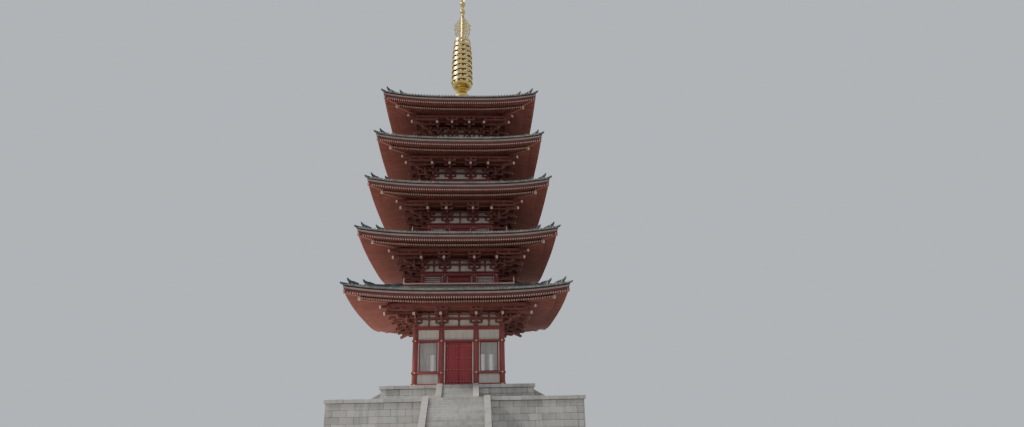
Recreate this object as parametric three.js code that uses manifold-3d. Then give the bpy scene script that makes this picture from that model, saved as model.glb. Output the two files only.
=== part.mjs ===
// A five-storey pagoda on a stone podium, as a model at half of full size.
// Lengths below are metres of the full-size tower; every mesh comes out in model millimetres.
import * as THREE from "three";
import { mergeVertices } from "three/addons/utils/BufferGeometryUtils.js";
import Module from "manifold-3d";

const wasm = await Module();
wasm.setup();

const MODEL_SCALE = 0.5;
const MODEL_MM = 1000 * MODEL_SCALE;
// The clearance between touching pieces: 0.3 mm on the model.
const GAP = 0.3 / MODEL_MM;
// Vertices closer than this are one vertex.
const WELD = 1e-5;
// How far a cutting box runs past what it cuts.
const CUT_PAST = 1;

// floor: top of the storey's floor. body: half width to the column centres. bay: half width of the
// middle bay. deck: half width of the balcony. eave, eaveHeight: half width of the eave and the
// height of its fascia at mid-side.
const STOREYS = [
  { floor: 6.3, body: 4.0, bay: 1.6, deck: 0, eave: 9.7, eaveHeight: 13.6 },
  { floor: 15.65, body: 3.55, bay: 1.43, deck: 5.3, eave: 9.0, eaveHeight: 18.99 },
  { floor: 20.95, body: 3.12, bay: 1.3, deck: 4.75, eave: 8.5, eaveHeight: 24.14 },
  { floor: 26.2, body: 2.83, bay: 1.06, deck: 4.3, eave: 8.02, eaveHeight: 29.14 },
  { floor: 31.1, body: 2.45, bay: 0.9, deck: 3.88, eave: 7.64, eaveHeight: 34.06 },
];

// Walls, columns and the beams that tie them.
const WALL_INNER = 0.32;
const WALL_OUTER = 0.05;
const COLUMN_RADIUS = 0.2;
const GROUND_COLUMN_RADIUS = 0.26;
const COLUMN_SIDES = 8;
const SILL_HEIGHT = 0.15;
const SILL_OUTER = 0.26;
const HEAD_BEAM_TOP = -1.8;
const HEAD_BEAM_DEPTH = 0.34;
const HEAD_BEAM_OUTER = 0.3;
const COLUMN_TENON = 0.1;
const JAMB = 0.1;
const DOOR_LEAF = 0.08;
const DOOR_RECESS = 0.12;
const GROUND_DOOR_HEAD = 1.1;
const WINDOW_SILL = 0.2;
const GROUND_WINDOW_SILL = 1.2;

// Brackets and eaves, from the column line outwards and from the fascia's height.
const PURLIN_OUT = 2.35;
const PURLIN_WIDTH = 0.3;
const PURLIN_LOW = -0.62;
const ARM_WIDTH = 0.26;
// A stepped bracket arm with its tail rafter, seen from the side.
const ARM_OUTLINE = [
  [-0.1, HEAD_BEAM_TOP + 2 * GAP],
  [0.4, HEAD_BEAM_TOP + 2 * GAP],
  [1.7, -1.3],
  [2.62, -1.21],
  [2.62, -0.97],
  [2.2, -0.54],
  [-0.1, -0.54],
];
const EAVE_SWEEP = 0.56;
const SWEEP_POWER = 3;
const BASE_RAFTER_SETBACK = 1.05;
const BASE_RAFTER_SLOPE = 0.2;
const BASE_RAFTER_SWEEP = 0.7 * EAVE_SWEEP;
const FLYING_RAFTER_LOW = -0.44;
const FLYING_RAFTER_ROOT = -0.38;
const FLYING_RAFTER_SETBACK = 0.08;
const DECK_THICKNESS = 0.3;
const FASCIA_TOP = 0.14;
const EDGE_SEAT = 0.5;
const SEAT_CLEAR = 0.04;

// Roofs and the ridges over their corners.
const TILE_EDGE = 0.36;
const TILE_OVERHANG = 0.1;
const ROOF_SHELL = 0.22;
// How far up the slope the hollow under the shell ends and starts.
const HOLLOW_SHARES = [0.9, 0.45];
const ROOF_HOLLOW = 0.3;
const ROOF_SAG = 0.3;
const TOP_ROOF_SAG = 0.36;
const RIM_INSET = 0.25;
const FLOOR_THICKNESS = 0.2;
const TOP_RIM = 0.9;
const TOP_ROOF_HEIGHT = 37.95;
const CAP_OUT = 0.1;
const CAP_TOP = 38.2;
const CAP_DEPTH = 0.2;
const RIDGE_WIDTH = 0.36;
const RIDGE_HEIGHT = 0.3;
// Three horns stand over each corner: on the eave, and on the ends of the lower and upper ridges.
const TIP_HORN = { reach: 0.15, rise: 0.05, thick: 0.16 };
const RIDGE_ENDS = [0.55, 1.7];
const HORN_REACH = 0.1;
const HORN_RISE = 0.2;
const HORN_LENGTH = 0.3;

// Balconies.
const RAIL_HEIGHT = 0.7;
const RAIL_INSET = 0.13;
const RAIL_MIDDLE = 0.36;
const RAIL_POST = 0.08;
const RAIL_SIZE = 0.1;

// Podium, its upper platform and the front stairs.
const PODIUM = 10.3;
const PODIUM_HEIGHT = 5.0;
const PLATFORM = 6.6;
const COPING = 0.3;
const COPING_OUT = 0.12;
const STAIR_WIDTH = 4.4;
const STAIR_RISERS = 23;
const STAIR_TREAD = 0.3;
const STEP_WIDTH = 2.6;
const STEP_RISERS = 7;
const CHEEK = 0.5;
const CHEEK_REACH = 0.3;
const TREAD_LAP = 0.02;

// Finial, on the axis of the tower.
const BASIN = 0.88;
const BASIN_RIM = { half: 1.04, low: 38.48, top: 38.66 };
const BOWL_TOP = 40.06;
const LOTUS_TOP = 40.86;
const FLAME_TOP = 50.45;
const MAST_RADIUS = 0.13;
const RING_RADII = [1.26, 1.25, 1.24, 1.22, 1.2, 1.18, 1.14, 1.08, 1.0];
const RING_LOW = 40.9;
const RING_PITCH = 0.7;
const RING_HEIGHT = 0.38;
const RING_WALL = 0.14;
const RING_FLARE = 0.04;
const HUB_RADIUS = 0.24;
const SPOKE = { width: 0.06, low: 0.08, high: 0.2 };
const FLAME_THICKNESS = 0.06;
const FINIAL_SIDES = 14;

const finish = (colour, roughness, metalness = 0) =>
  new THREE.MeshStandardMaterial({ color: colour, roughness, metalness });
const MATERIALS = {
  stone: finish(0xb9b4a8, 0.85),
  vermilion: finish(0x9c3327, 0.6),
  plaster: finish(0xe6dfd2, 0.9),
  eaveWood: finish(0xb4552f, 0.6),
  tile: finish(0x5d665f, 0.45, 0.3),
  gilt: finish(0xd8a942, 0.3, 1),
};

const pagoda = new THREE.Group();
pagoda.name = "pagoda";

// Turns a closed geometry into a solid that can be joined and cut.
function toSolid(geometry) {
  const bare = geometry.clone();
  bare.deleteAttribute("normal");
  bare.deleteAttribute("uv");
  const merged = mergeVertices(bare, WELD);
  return new wasm.Manifold(
    new wasm.Mesh({
      numProp: 3,
      vertProperties: merged.attributes.position.array,
      triVerts: new Uint32Array(merged.index.array),
    }),
  );
}

const join = (solids) => solids.reduce((whole, next) => whole.add(next));

// Adds a solid to the model as one named mesh.
function addPiece(name, solid, material) {
  const { vertProperties, triVerts } = solid.getMesh();
  const geometry = new THREE.BufferGeometry();
  geometry.setAttribute("position", new THREE.BufferAttribute(new Float32Array(vertProperties), 3));
  geometry.setIndex(new THREE.BufferAttribute(new Uint32Array(triVerts), 1));
  geometry.scale(MODEL_MM, MODEL_MM, MODEL_MM);
  geometry.computeVertexNormals();
  const mesh = new THREE.Mesh(geometry, material);
  mesh.name = name;
  pagoda.add(mesh);
}

// A box between two corners, turned about the tower's axis by an angle.
function boxSolid([x0, y0, z0], [x1, y1, z1], turn = 0) {
  const geometry = new THREE.BoxGeometry(x1 - x0, y1 - y0, z1 - z0);
  geometry.translate((x0 + x1) / 2, (y0 + y1) / 2, (z0 + z1) / 2);
  geometry.rotateZ(turn);
  return toSolid(geometry);
}

const QUARTER = Math.PI / 2;
const SIDES = [0, 1, 2, 3].map((side) => side * QUARTER);

// A square ring beam or plate: half widths outside and inside, and two heights.
function squareRing(outer, inner, low, high) {
  return squareLathe([
    { half: outer, z: low },
    { half: outer, z: high },
    { half: inner, z: high },
    { half: inner, z: low },
  ]);
}

// Sweeps a closed section round the four sides of a square. A section point has its half width, its
// height at mid-side and the lift that it gains at the corners.
function squareLathe(section, stations = [-1]) {
  const positions = [];
  const index = [];
  const ring = stations.length * SIDES.length;
  for (const { half, z, lift = 0 } of section) {
    for (const side of SIDES) {
      for (const t of stations) {
        const x = t * half;
        const cos = Math.cos(side);
        const sin = Math.sin(side);
        const height = z + lift * Math.abs(t) ** SWEEP_POWER;
        positions.push(x * cos + half * sin, x * sin - half * cos, height);
      }
    }
  }
  for (let s = 0; s < section.length; s++) {
    const here = s * ring;
    const next = ((s + 1) % section.length) * ring;
    for (let i = 0; i < ring; i++) {
      const j = (i + 1) % ring;
      index.push(here + i, here + j, next + j, here + i, next + j, next + i);
    }
  }
  const geometry = new THREE.BufferGeometry();
  geometry.setAttribute("position", new THREE.Float32BufferAttribute(positions, 3));
  geometry.setIndex(index);
  return toSolid(geometry);
}

// A flat outline in the plane of distance out (x) and height (y), extruded to a width and stood up
// on the tower's axis, at an angle round it and moved sideways.
function standingPlate(outline, width, turn, sideways = 0) {
  const shape = new THREE.Shape(outline.map(([x, y]) => new THREE.Vector2(x, y)));
  const geometry = new THREE.ExtrudeGeometry(shape, { depth: width, bevelEnabled: false });
  geometry.translate(0, 0, -width / 2);
  geometry.rotateX(QUARTER);
  geometry.rotateZ(-QUARTER);
  geometry.translate(sideways, 0, 0);
  geometry.rotateZ(turn);
  return toSolid(geometry);
}

// A round solid about the tower's axis from a profile of radius and height.
function lathe(profile, sides = FINIAL_SIDES) {
  const points = profile.map(([radius, z]) => new THREE.Vector2(radius, z));
  const geometry = new THREE.LatheGeometry(points, sides);
  geometry.rotateX(QUARTER);
  return toSolid(geometry);
}

function column(x, y, radius, low, high) {
  const geometry = new THREE.CylinderGeometry(radius, radius, high - low, COLUMN_SIDES);
  geometry.rotateX(QUARTER);
  geometry.rotateZ(Math.PI / COLUMN_SIDES);
  geometry.translate(x, y, (low + high) / 2);
  return toSolid(geometry);
}

// The stations along a side close up towards the corners, where the eave turns up.
const SWEPT_STATIONS = [-1, -0.82, -0.5, 0, 0.5, 0.82];

// Heights that follow from a storey's own dimensions.
const headBeamTop = (storey) => storey.eaveHeight + HEAD_BEAM_TOP;
const headBeamLow = (storey) => headBeamTop(storey) - HEAD_BEAM_DEPTH;
const sillTop = (storey) => storey.floor + SILL_HEIGHT;
const columnRadius = (storey) => (storey.deck ? COLUMN_RADIUS : GROUND_COLUMN_RADIUS);
const baseTip = (storey) => storey.eave - BASE_RAFTER_SETBACK;
const eaveUnderside = (storey, half) =>
  storey.eaveHeight + PURLIN_LOW + BASE_RAFTER_SLOPE * (baseTip(storey) - half);

function columnPlaces({ body, bay }) {
  const line = [-body, -bay, bay, body];
  return line.flatMap((x) =>
    line.filter((y) => Math.abs(x) === body || Math.abs(y) === body).map((y) => [x, y]),
  );
}

// The opening of the middle bay, and those of the two side bays, on one side of the tower.
function doorOpening(storey) {
  const half = storey.bay - columnRadius(storey) - JAMB;
  const head = storey.deck ? JAMB : GROUND_DOOR_HEAD;
  return { left: -half, right: half, low: sillTop(storey), high: headBeamLow(storey) - head };
}

function windowOpenings(storey) {
  const radius = columnRadius(storey);
  const left = storey.bay + radius + JAMB;
  const right = storey.body - radius - JAMB;
  const door = doorOpening(storey);
  const low = sillTop(storey) + (storey.deck ? WINDOW_SILL : GROUND_WINDOW_SILL);
  return [
    { left, right, low, high: door.high },
    { left: -right, right: -left, low, high: door.high },
  ];
}

function addWalls(storey, number) {
  const { body } = storey;
  const outer = body + WALL_OUTER;
  const inner = body - WALL_INNER;
  const low = sillTop(storey) + GAP;
  let walls = squareRing(outer, inner, low, headBeamLow(storey) - GAP);
  for (const [x, y] of columnPlaces(storey)) {
    const clear = columnRadius(storey) * Math.cos(Math.PI / COLUMN_SIDES) + GAP;
    const from = [x - clear, y - clear, low - CUT_PAST];
    walls = walls.subtract(boxSolid(from, [x + clear, y + clear, headBeamTop(storey)]));
  }
  for (const turn of SIDES) {
    for (const hole of [doorOpening(storey), ...windowOpenings(storey)]) {
      const foot = hole.low === sillTop(storey) ? low - CUT_PAST : hole.low;
      const from = [hole.left, -outer - CUT_PAST, foot];
      const to = [hole.right, -inner + CUT_PAST, hole.high];
      walls = walls.subtract(boxSolid(from, to, turn));
    }
  }
  addPiece(`walls_${number}`, walls, MATERIALS.plaster);
}

// The sill ring on the floor carries the four closed double doors.
function addDoors(storey, number) {
  const { body, floor } = storey;
  const face = body - DOOR_RECESS;
  const door = doorOpening(storey);
  const parts = [squareRing(body + SILL_OUTER, body - WALL_INNER, floor + GAP, sillTop(storey))];
  for (const turn of SIDES) {
    const from = [door.left + GAP, -face, sillTop(storey) - SILL_HEIGHT / 2];
    const to = [door.right - GAP, -face + DOOR_LEAF, door.high - GAP];
    parts.push(boxSolid(from, to, turn));
  }
  addPiece(`doors_${number}`, join(parts), MATERIALS.vermilion);
}

function addFrame(storey, number) {
  const { body } = storey;
  const beam = squareRing(
    body + HEAD_BEAM_OUTER,
    body - WALL_INNER,
    headBeamLow(storey),
    headBeamTop(storey),
  );
  const columns = columnPlaces(storey).map(([x, y]) =>
    column(x, y, columnRadius(storey), sillTop(storey) + GAP, headBeamTop(storey) - COLUMN_TENON),
  );
  addPiece(`frame_${number}`, join([beam, ...columns]), MATERIALS.vermilion);
}

// The arm's outline where it stands, stretched by a reach of more than one along a diagonal.
const armOutline = ({ body, eaveHeight }, reach) =>
  ARM_OUTLINE.map(([distance, height]) => [(body + distance) * reach, eaveHeight + height]);

function addBrackets(storey, number) {
  const { body, bay, eaveHeight } = storey;
  const wallOuter = body + WALL_OUTER;
  const inner = body - WALL_INNER;
  const low = headBeamTop(storey) + GAP;
  const under = (half) => eaveUnderside(storey, half) - GAP;
  const parts = [
    squareLathe([
      { half: wallOuter, z: low },
      { half: wallOuter, z: under(wallOuter) },
      { half: inner, z: under(inner) },
      { half: inner, z: low },
    ]),
    squareLathe([
      { half: body + PURLIN_OUT, z: eaveHeight + PURLIN_LOW },
      { half: body + PURLIN_OUT, z: under(body + PURLIN_OUT) },
      { half: body + PURLIN_OUT - PURLIN_WIDTH, z: under(body + PURLIN_OUT - PURLIN_WIDTH) },
      { half: body + PURLIN_OUT - PURLIN_WIDTH, z: eaveHeight + PURLIN_LOW },
    ]),
  ];
  for (const turn of SIDES) {
    for (const place of [-body, -bay, bay, body]) {
      parts.push(standingPlate(armOutline(storey, 1), ARM_WIDTH, turn, place));
    }
    parts.push(standingPlate(armOutline(storey, Math.SQRT2), ARM_WIDTH, turn + QUARTER / 2));
  }
  addPiece(`brackets_${number}`, join(parts), MATERIALS.vermilion);
}

// A point on the top of the rafter deck, which runs straight from the fascia to the wall.
function deckTop(storey, half) {
  const { body, eave, eaveHeight } = storey;
  const inner = body - WALL_INNER;
  const atWall = eaveUnderside(storey, inner) + DECK_THICKNESS;
  const share = (eave - half) / (eave - inner);
  return {
    half,
    z: THREE.MathUtils.lerp(eaveHeight + FASCIA_TOP, atWall, share),
    lift: EAVE_SWEEP * (1 - share),
  };
}

// The two tiers of rafters as one deck, with the fascia along its edge.
function addEaves(storey, number) {
  const { body, eave, eaveHeight } = storey;
  const inner = body - WALL_INNER;
  const tip = baseTip(storey);
  const at = (half, height, lift) => ({ half, z: eaveHeight + height, lift });
  const section = [
    { half: inner, z: eaveUnderside(storey, inner), lift: 0 },
    at(tip, PURLIN_LOW, BASE_RAFTER_SWEEP),
    at(tip, FLYING_RAFTER_ROOT, BASE_RAFTER_SWEEP),
    at(eave - FLYING_RAFTER_SETBACK, FLYING_RAFTER_LOW, EAVE_SWEEP),
    deckTop(storey, eave),
    deckTop(storey, inner),
  ];
  addPiece(`eaves_${number}`, squareLathe(section, SWEPT_STATIONS), MATERIALS.eaveWood);
}

// The top of a roof's slope: half width and height of its upper rim.
function roofRim(number) {
  const above = STOREYS[number];
  if (!above) return { half: TOP_RIM, z: TOP_ROOF_HEIGHT, sag: TOP_ROOF_SAG };
  const z = above.floor - FLOOR_THICKNESS - GAP;
  return { half: above.deck - RIM_INSET, z, sag: ROOF_SAG };
}

// A point on the tiled slope, from the eave's edge (0) to the upper rim (1).
function slopePoint(storey, number, share) {
  const rim = roofRim(number);
  const edge = { half: storey.eave + TILE_OVERHANG, z: storey.eaveHeight + TILE_EDGE };
  const climb = share * (1 - rim.sag) + rim.sag * share ** 2;
  return {
    half: THREE.MathUtils.lerp(edge.half, rim.half, share),
    z: THREE.MathUtils.lerp(edge.z, rim.z, climb),
    lift: EAVE_SWEEP * (1 - share) ** 2,
  };
}

// The ridge over a hip: a horn at the corner of the eave, a lower ridge and an upper one.
function hipRidge(storey, number, turn) {
  const above = STOREYS[number];
  const edge = storey.eave + TILE_OVERHANG;
  const stop = above ? above.deck + 3 * GAP : TOP_RIM + CAP_OUT - 3 * GAP;
  const surface = (half) => {
    const point = slopePoint(storey, number, (edge - half) / (edge - roofRim(number).half));
    return point.z + point.lift;
  };
  const over = (half, height) => [half * Math.SQRT2, surface(half) + height];
  const corner = edge * Math.SQRT2;
  const tipTop = surface(edge) + TIP_HORN.rise + TIP_HORN.thick;
  const top = [[corner + TIP_HORN.reach * Math.SQRT2, tipTop]];
  for (const setback of RIDGE_ENDS) {
    const end = edge - setback;
    const base = setback === RIDGE_ENDS[0] ? TIP_HORN.thick / 2 : RIDGE_HEIGHT;
    top.push(over(end + HORN_REACH, base));
    top.push(over(end + HORN_REACH, RIDGE_HEIGHT + HORN_RISE));
    top.push(over(end - HORN_LENGTH, RIDGE_HEIGHT));
  }
  top.push(over((edge + stop) / 2, RIDGE_HEIGHT), over(stop, RIDGE_HEIGHT));
  const low = [stop, (edge + stop) / 2, edge - HORN_LENGTH].map((half) => over(half, -ROOF_SHELL / 2));
  low.push([corner + TIP_HORN.reach * Math.SQRT2, tipTop - TIP_HORN.thick]);
  return standingPlate([...top, ...low].reverse(), RIDGE_WIDTH, turn);
}

function addRoof(storey, number) {
  const { eave, eaveHeight } = storey;
  const rim = roofRim(number);
  const top = [0, 0.3, 0.65, 1].map((share) => slopePoint(storey, number, share));
  const hollow = HOLLOW_SHARES.map((share) => {
    const point = slopePoint(storey, number, share);
    return { ...point, z: point.z - ROOF_SHELL };
  });
  const seat = deckTop(storey, eave - EDGE_SEAT);
  const section = [
    { ...seat, z: seat.z + SEAT_CLEAR },
    { half: eave, z: eaveHeight + FASCIA_TOP + GAP, lift: EAVE_SWEEP },
    ...top,
    { half: rim.half - ROOF_HOLLOW, z: rim.z },
    { half: rim.half - ROOF_HOLLOW, z: hollow[0].z, lift: 0 },
    ...hollow.slice(1),
  ];
  const parts = [squareLathe(section, SWEPT_STATIONS)];
  for (const turn of SIDES) parts.push(hipRidge(storey, number, turn + QUARTER / 2));
  if (!STOREYS[number]) {
    const cap = TOP_RIM + CAP_OUT;
    parts.push(boxSolid([-cap, -cap, TOP_ROOF_HEIGHT - CAP_DEPTH], [cap, cap, CAP_TOP]));
  }
  addPiece(`roof_${number}`, join(parts), MATERIALS.tile);
}

function addFloor(storey, number) {
  const { deck, floor } = storey;
  const slab = boxSolid([-deck, -deck, floor - FLOOR_THICKNESS], [deck, deck, floor]);
  addPiece(`floor_${number}`, slab, MATERIALS.vermilion);
}

// Three rails and their posts round a square, with the places of the posts along each side.
function balustrade(half, floor, places, height) {
  const rail = RAIL_SIZE / 2;
  const heights = [floor + GAP, floor + RAIL_MIDDLE, floor + height - RAIL_SIZE];
  const parts = heights.map((low) => squareRing(half + rail, half - rail, low, low + RAIL_SIZE));
  const post = RAIL_POST / 2;
  for (const turn of SIDES) {
    for (const place of places) {
      const from = [place - post, -half - post, floor + rail];
      const to = [place + post, -half + post, floor + height - rail];
      parts.push(boxSolid(from, to, turn));
    }
  }
  return join(parts);
}

function addRailing(storey, number) {
  const half = storey.deck - RAIL_INSET;
  const places = [-half, 0];
  const railing = balustrade(half, storey.floor, places, RAIL_HEIGHT);
  addPiece(`railing_${number}`, railing, MATERIALS.vermilion);
}

// A block with a coping that stands out round its top.
function copedBlock(half, low, high) {
  const out = half + COPING_OUT;
  return join([
    boxSolid([-half, -half, low], [half, half, high - COPING / 2]),
    boxSolid([-out, -out, high - COPING], [out, out, high]),
  ]);
}

// A straight flight that climbs towards the tower, with a sloping cheek on either side.
function flight(start, low, high, risers, width, turn) {
  const rise = (high - low) / risers;
  const run = STAIR_TREAD * (risers - 1);
  const steps = [[start, low]];
  for (let step = 1; step < risers; step++) {
    const face = start + run - (step - 1) * STAIR_TREAD;
    steps.push([face, low + rise * (step - 1)], [face, low + rise * step]);
  }
  steps.push([start, high - rise]);
  const cheek = [
    [start, low],
    [start + run + CHEEK_REACH, low],
    [start + run + CHEEK_REACH, low + rise],
    [start, high + rise / 2],
  ];
  const side = (width + CHEEK) / 2;
  return join([
    standingPlate(steps, width + TREAD_LAP, turn),
    standingPlate(cheek, CHEEK, turn, -side),
    standingPlate(cheek, CHEEK, turn, side),
  ]);
}

function addBase() {
  const podiumTop = PODIUM_HEIGHT;
  const platformTop = STOREYS[0].floor;
  addPiece("podium", copedBlock(PODIUM, 0, podiumTop), MATERIALS.stone);
  const platformFace = PLATFORM + COPING_OUT;
  addPiece("platform", copedBlock(PLATFORM, podiumTop + GAP, platformTop), MATERIALS.stone);
  for (const [name, turn] of [
    ["front", 0],
    ["right", 1],
    ["back", 2],
    ["left", 3],
  ]) {
    const steps = flight(
      platformFace + GAP,
      podiumTop + GAP,
      platformTop,
      STEP_RISERS,
      STEP_WIDTH,
      turn * QUARTER,
    );
    addPiece(`${name}_steps`, steps, MATERIALS.stone);
  }
  const stair = flight(PODIUM + COPING_OUT + GAP, 0, podiumTop, STAIR_RISERS, STAIR_WIDTH, 0);
  addPiece("podium_stair", stair, MATERIALS.stone);
}

function addFinial() {
  const bore = MAST_RADIUS + 2 * GAP;
  const seat = CAP_TOP + GAP;
  const rim = BASIN_RIM;
  const bowlSeat = rim.top + GAP;
  const lotusSeat = BOWL_TOP + GAP;
  const ringSeat = LOTUS_TOP + GAP;
  // The dew basin: a square box with a rim, over the top of the roof.
  const basin = join([
    boxSolid([-BASIN, -BASIN, seat], [BASIN, BASIN, (rim.low + rim.top) / 2]),
    boxSolid([-rim.half, -rim.half, rim.low], [rim.half, rim.half, rim.top]),
  ]).subtract(
    lathe([
      [0, seat - CUT_PAST],
      [bore, seat - CUT_PAST],
      [bore, rim.top + CUT_PAST],
      [0, rim.top + CUT_PAST],
    ]),
  );
  addPiece("dew_basin", basin, MATERIALS.gilt);
  const round = (name, profile) => addPiece(name, lathe(profile), MATERIALS.gilt);
  round("inverted_bowl", [
    [bore, bowlSeat],
    [0.98, bowlSeat],
    [0.98, 38.85],
    [0.92, 39.15],
    [0.78, 39.45],
    [0.62, 39.7],
    [0.62, BOWL_TOP],
    [bore, BOWL_TOP],
    [bore, bowlSeat],
  ]);
  round("lotus", [
    [bore, lotusSeat],
    [0.66, lotusSeat],
    [0.86, 40.3],
    [1.12, 40.6],
    [1.22, 40.78],
    [1.22, LOTUS_TOP],
    [0.8, 40.55],
    [0.4, 40.5],
    [0.4, LOTUS_TOP],
    [bore, LOTUS_TOP],
    [bore, lotusSeat],
  ]);
  const ringTop = RING_LOW + RING_PITCH * (RING_RADII.length - 1) + RING_HEIGHT;
  const parts = [
    lathe([
      [bore, ringSeat],
      [HUB_RADIUS, ringSeat],
      [HUB_RADIUS, ringTop],
      [bore, ringTop],
      [bore, ringSeat],
    ]),
  ];
  RING_RADII.forEach((radius, i) => {
    const low = RING_LOW + RING_PITCH * i;
    parts.push(
      lathe([
        [radius - RING_WALL, low],
        [radius, low],
        [radius - RING_FLARE, low + RING_HEIGHT],
        [radius - RING_WALL, low + RING_HEIGHT],
        [radius - RING_WALL, low],
      ]),
    );
    const reach = radius - RING_WALL / 2;
    for (const turn of [i % 2, 2 + (i % 2)]) {
      const from = [bore + RING_FLARE, -SPOKE.width / 2, low + SPOKE.low];
      const to = [reach, SPOKE.width / 2, low + SPOKE.high];
      parts.push(boxSolid(from, to, turn * QUARTER));
    }
  });
  addPiece("nine_rings", join(parts), MATERIALS.gilt);
  const flameLow = ringTop + GAP;
  const flame = [
    [0.15, flameLow],
    [0.4, flameLow],
    [0.85, 47.9],
    [1.1, 48.8],
    [1.1, 49.4],
    [0.75, 49.8],
    [0.65, 50.15],
    [0.15, 50.4],
  ];
  const sleeve = [
    [bore, flameLow],
    [0.2, flameLow],
    [0.2, FLAME_TOP],
    [bore, FLAME_TOP],
    [bore, flameLow],
  ];
  const wings = SIDES.map((turn) => standingPlate(flame, FLAME_THICKNESS, turn));
  addPiece("water_flame", join([lathe(sleeve), ...wings]), MATERIALS.gilt);
  const mast = [
    [0, seat],
    [MAST_RADIUS, seat],
    [MAST_RADIUS, 50.6],
    [0.22, 50.75],
    [0.32, 51.05],
    [0.35, 51.3],
    [0.28, 51.58],
    [MAST_RADIUS, 51.72],
    [MAST_RADIUS, 51.92],
    [0.28, 52.08],
    [0.36, 52.4],
    [0.3, 52.72],
    [0.1, 53.0],
    [0, 53.3],
  ];
  addPiece("mast_and_jewels", lathe(mast), MATERIALS.gilt);
}

addBase();
STOREYS.forEach((storey, i) => {
  const number = i + 1;
  if (storey.deck) {
    addFloor(storey, number);
    addRailing(storey, number);
  }
  addDoors(storey, number);
  addWalls(storey, number);
  addFrame(storey, number);
  addBrackets(storey, number);
  addEaves(storey, number);
  addRoof(storey, number);
});
addFinial();

export default pagoda;
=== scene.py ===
import math

import bpy
import numpy as np
from mathutils import Matrix, Vector


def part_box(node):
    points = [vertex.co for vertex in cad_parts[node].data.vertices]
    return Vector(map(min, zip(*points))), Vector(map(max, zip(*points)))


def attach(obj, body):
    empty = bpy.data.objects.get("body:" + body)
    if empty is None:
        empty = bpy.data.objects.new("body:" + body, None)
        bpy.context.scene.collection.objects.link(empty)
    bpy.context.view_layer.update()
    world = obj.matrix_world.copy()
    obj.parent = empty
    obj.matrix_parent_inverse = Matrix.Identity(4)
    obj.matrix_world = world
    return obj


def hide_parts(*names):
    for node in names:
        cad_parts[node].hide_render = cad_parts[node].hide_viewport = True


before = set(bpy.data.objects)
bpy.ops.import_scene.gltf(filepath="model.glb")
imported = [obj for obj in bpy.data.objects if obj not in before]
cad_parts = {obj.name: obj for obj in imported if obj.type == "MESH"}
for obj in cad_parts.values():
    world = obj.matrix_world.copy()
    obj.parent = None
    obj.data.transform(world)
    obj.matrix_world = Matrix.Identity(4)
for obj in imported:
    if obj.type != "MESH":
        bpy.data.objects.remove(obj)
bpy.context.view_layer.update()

SCALE = 0.5
ROOT_TWO = math.sqrt(2)
QUARTERS = [side * math.pi / 2 for side in range(4)]
DIAGONALS = [angle + math.pi / 4 for angle in QUARTERS]
# Edges that bend less than this many degrees are shaded smooth.
SMOOTH_BELOW = 38
METAL_SMOOTH_BELOW = 30
# The tone of a shape that isn't laid piece by piece.
PLAIN = 0.5

# What the frame's boxes don't give: the middle bays, and how far members stand from each other.
BAYS = [1.6, 1.43, 1.3, 1.06, 0.9]
WALL_PROUD = 0.05
WALL_INNER = 0.32
HEAD_TO_FASCIA = 1.8
HEAD_BEAM_DEPTH = 0.34
HEAD_CAP_DEPTH = 0.12
COLUMN_RADIUS = 0.2
GROUND_COLUMN_RADIUS = 0.26
JAMB = 0.1
WINDOW_SILL = 0.2
GROUND_WINDOW_SILL = 1.2
WINDOW_BAR_HALF = 0.036
FLOOR_THICKNESS = 0.2
BOARD_THICKNESS = 0.11

# The eave: its upturn at the corners, the two tiers of rafters and the purlin that carries them.
# Heights are taken from the fascia's mid-line, and sizes of timbers are width and depth.
SWEEP = 0.56
SWEEP_POWER = 3
LIFT_POWER = 1.3
LIFT_LIMIT = 1.1
EAVE_STEPS = 22
BASE_SETBACK = 1.05
BASE_SLOPE = 0.2
BASE_TIP = -0.54
BASE_RAFTER = (0.105, 0.16)
FLYING_ROOT = -0.24
FLYING_TIP = -0.375
FLYING_RAFTER = (0.09, 0.135)
RAFTER_PITCH = 0.21
SHORTEST_RAFTER = 0.12
HIP_CLEAR = 0.16
PURLIN_OUT = 2.35

# The bracket sets: how far their arms step out from the wall and how high they sit, how far an arm
# is let into another, and where each storey has struts between sets.
STEP_ONE = 0.78
STEP_TWO = 1.57
FIRST_ARM = -1.555
SECOND_ARM = -1.21
TAIL_LOW = -1.19
UPPER_TAIL_LOW = -0.64
CROSS_ARMS = ((STEP_ONE, -1.215, 0.15), (STEP_TWO, -0.88, 0.12), (PURLIN_OUT, -0.765, 0.15))
LET_IN = 0.004
STRUT_BAYS = {1: (-1, 0, 1), 2: (-1, 0, 1), 3: (0,), 4: (), 5: ()}
RIB_PITCH = 0.3

# The roofs: rows of half-round tiles over hollow ones, up to a rim under the floor above.
TILE_PITCH = 0.3
TILE_LENGTH = 0.36
TILE_EDGE = 0.36
TILE_OVERHANG = 0.1
SHORTEST_ROW = 0.15
COVER_RADIUS = 0.085
COVER_BEND = ((-1, -0.6), (-0.87, 0.5), (-0.38, 0.93), (0.38, 0.93), (0.87, 0.5), (1, -0.6))
DISC_RADIUS = 0.088
RIM_INSET = 0.25
ROOF_SAG = 0.3
TOP_SAG = 0.36
TOP_RIM = 0.9
TOP_CAP = TOP_RIM + 0.1
TOP_RIM_HEIGHT = 37.95
# Where the lower and the upper length of a hip ridge end, in from the edge of the tiles.
RIDGE_ENDS = (0.55, 1.7)
RIDGE_TILE = 0.3
RIDGE_FOOT = -0.02
HORN_SIDES = 8
HORN_REACH = 0.36

# The finial turns about the axis, on a mast that fills its bore.
BORE = 0.14
RING_RADII = [1.26, 1.25, 1.24, 1.22, 1.2, 1.18, 1.14, 1.08, 1.0]
RING_LOW = 40.9
RING_PITCH = 0.7
RING_SIDES = 48

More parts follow.
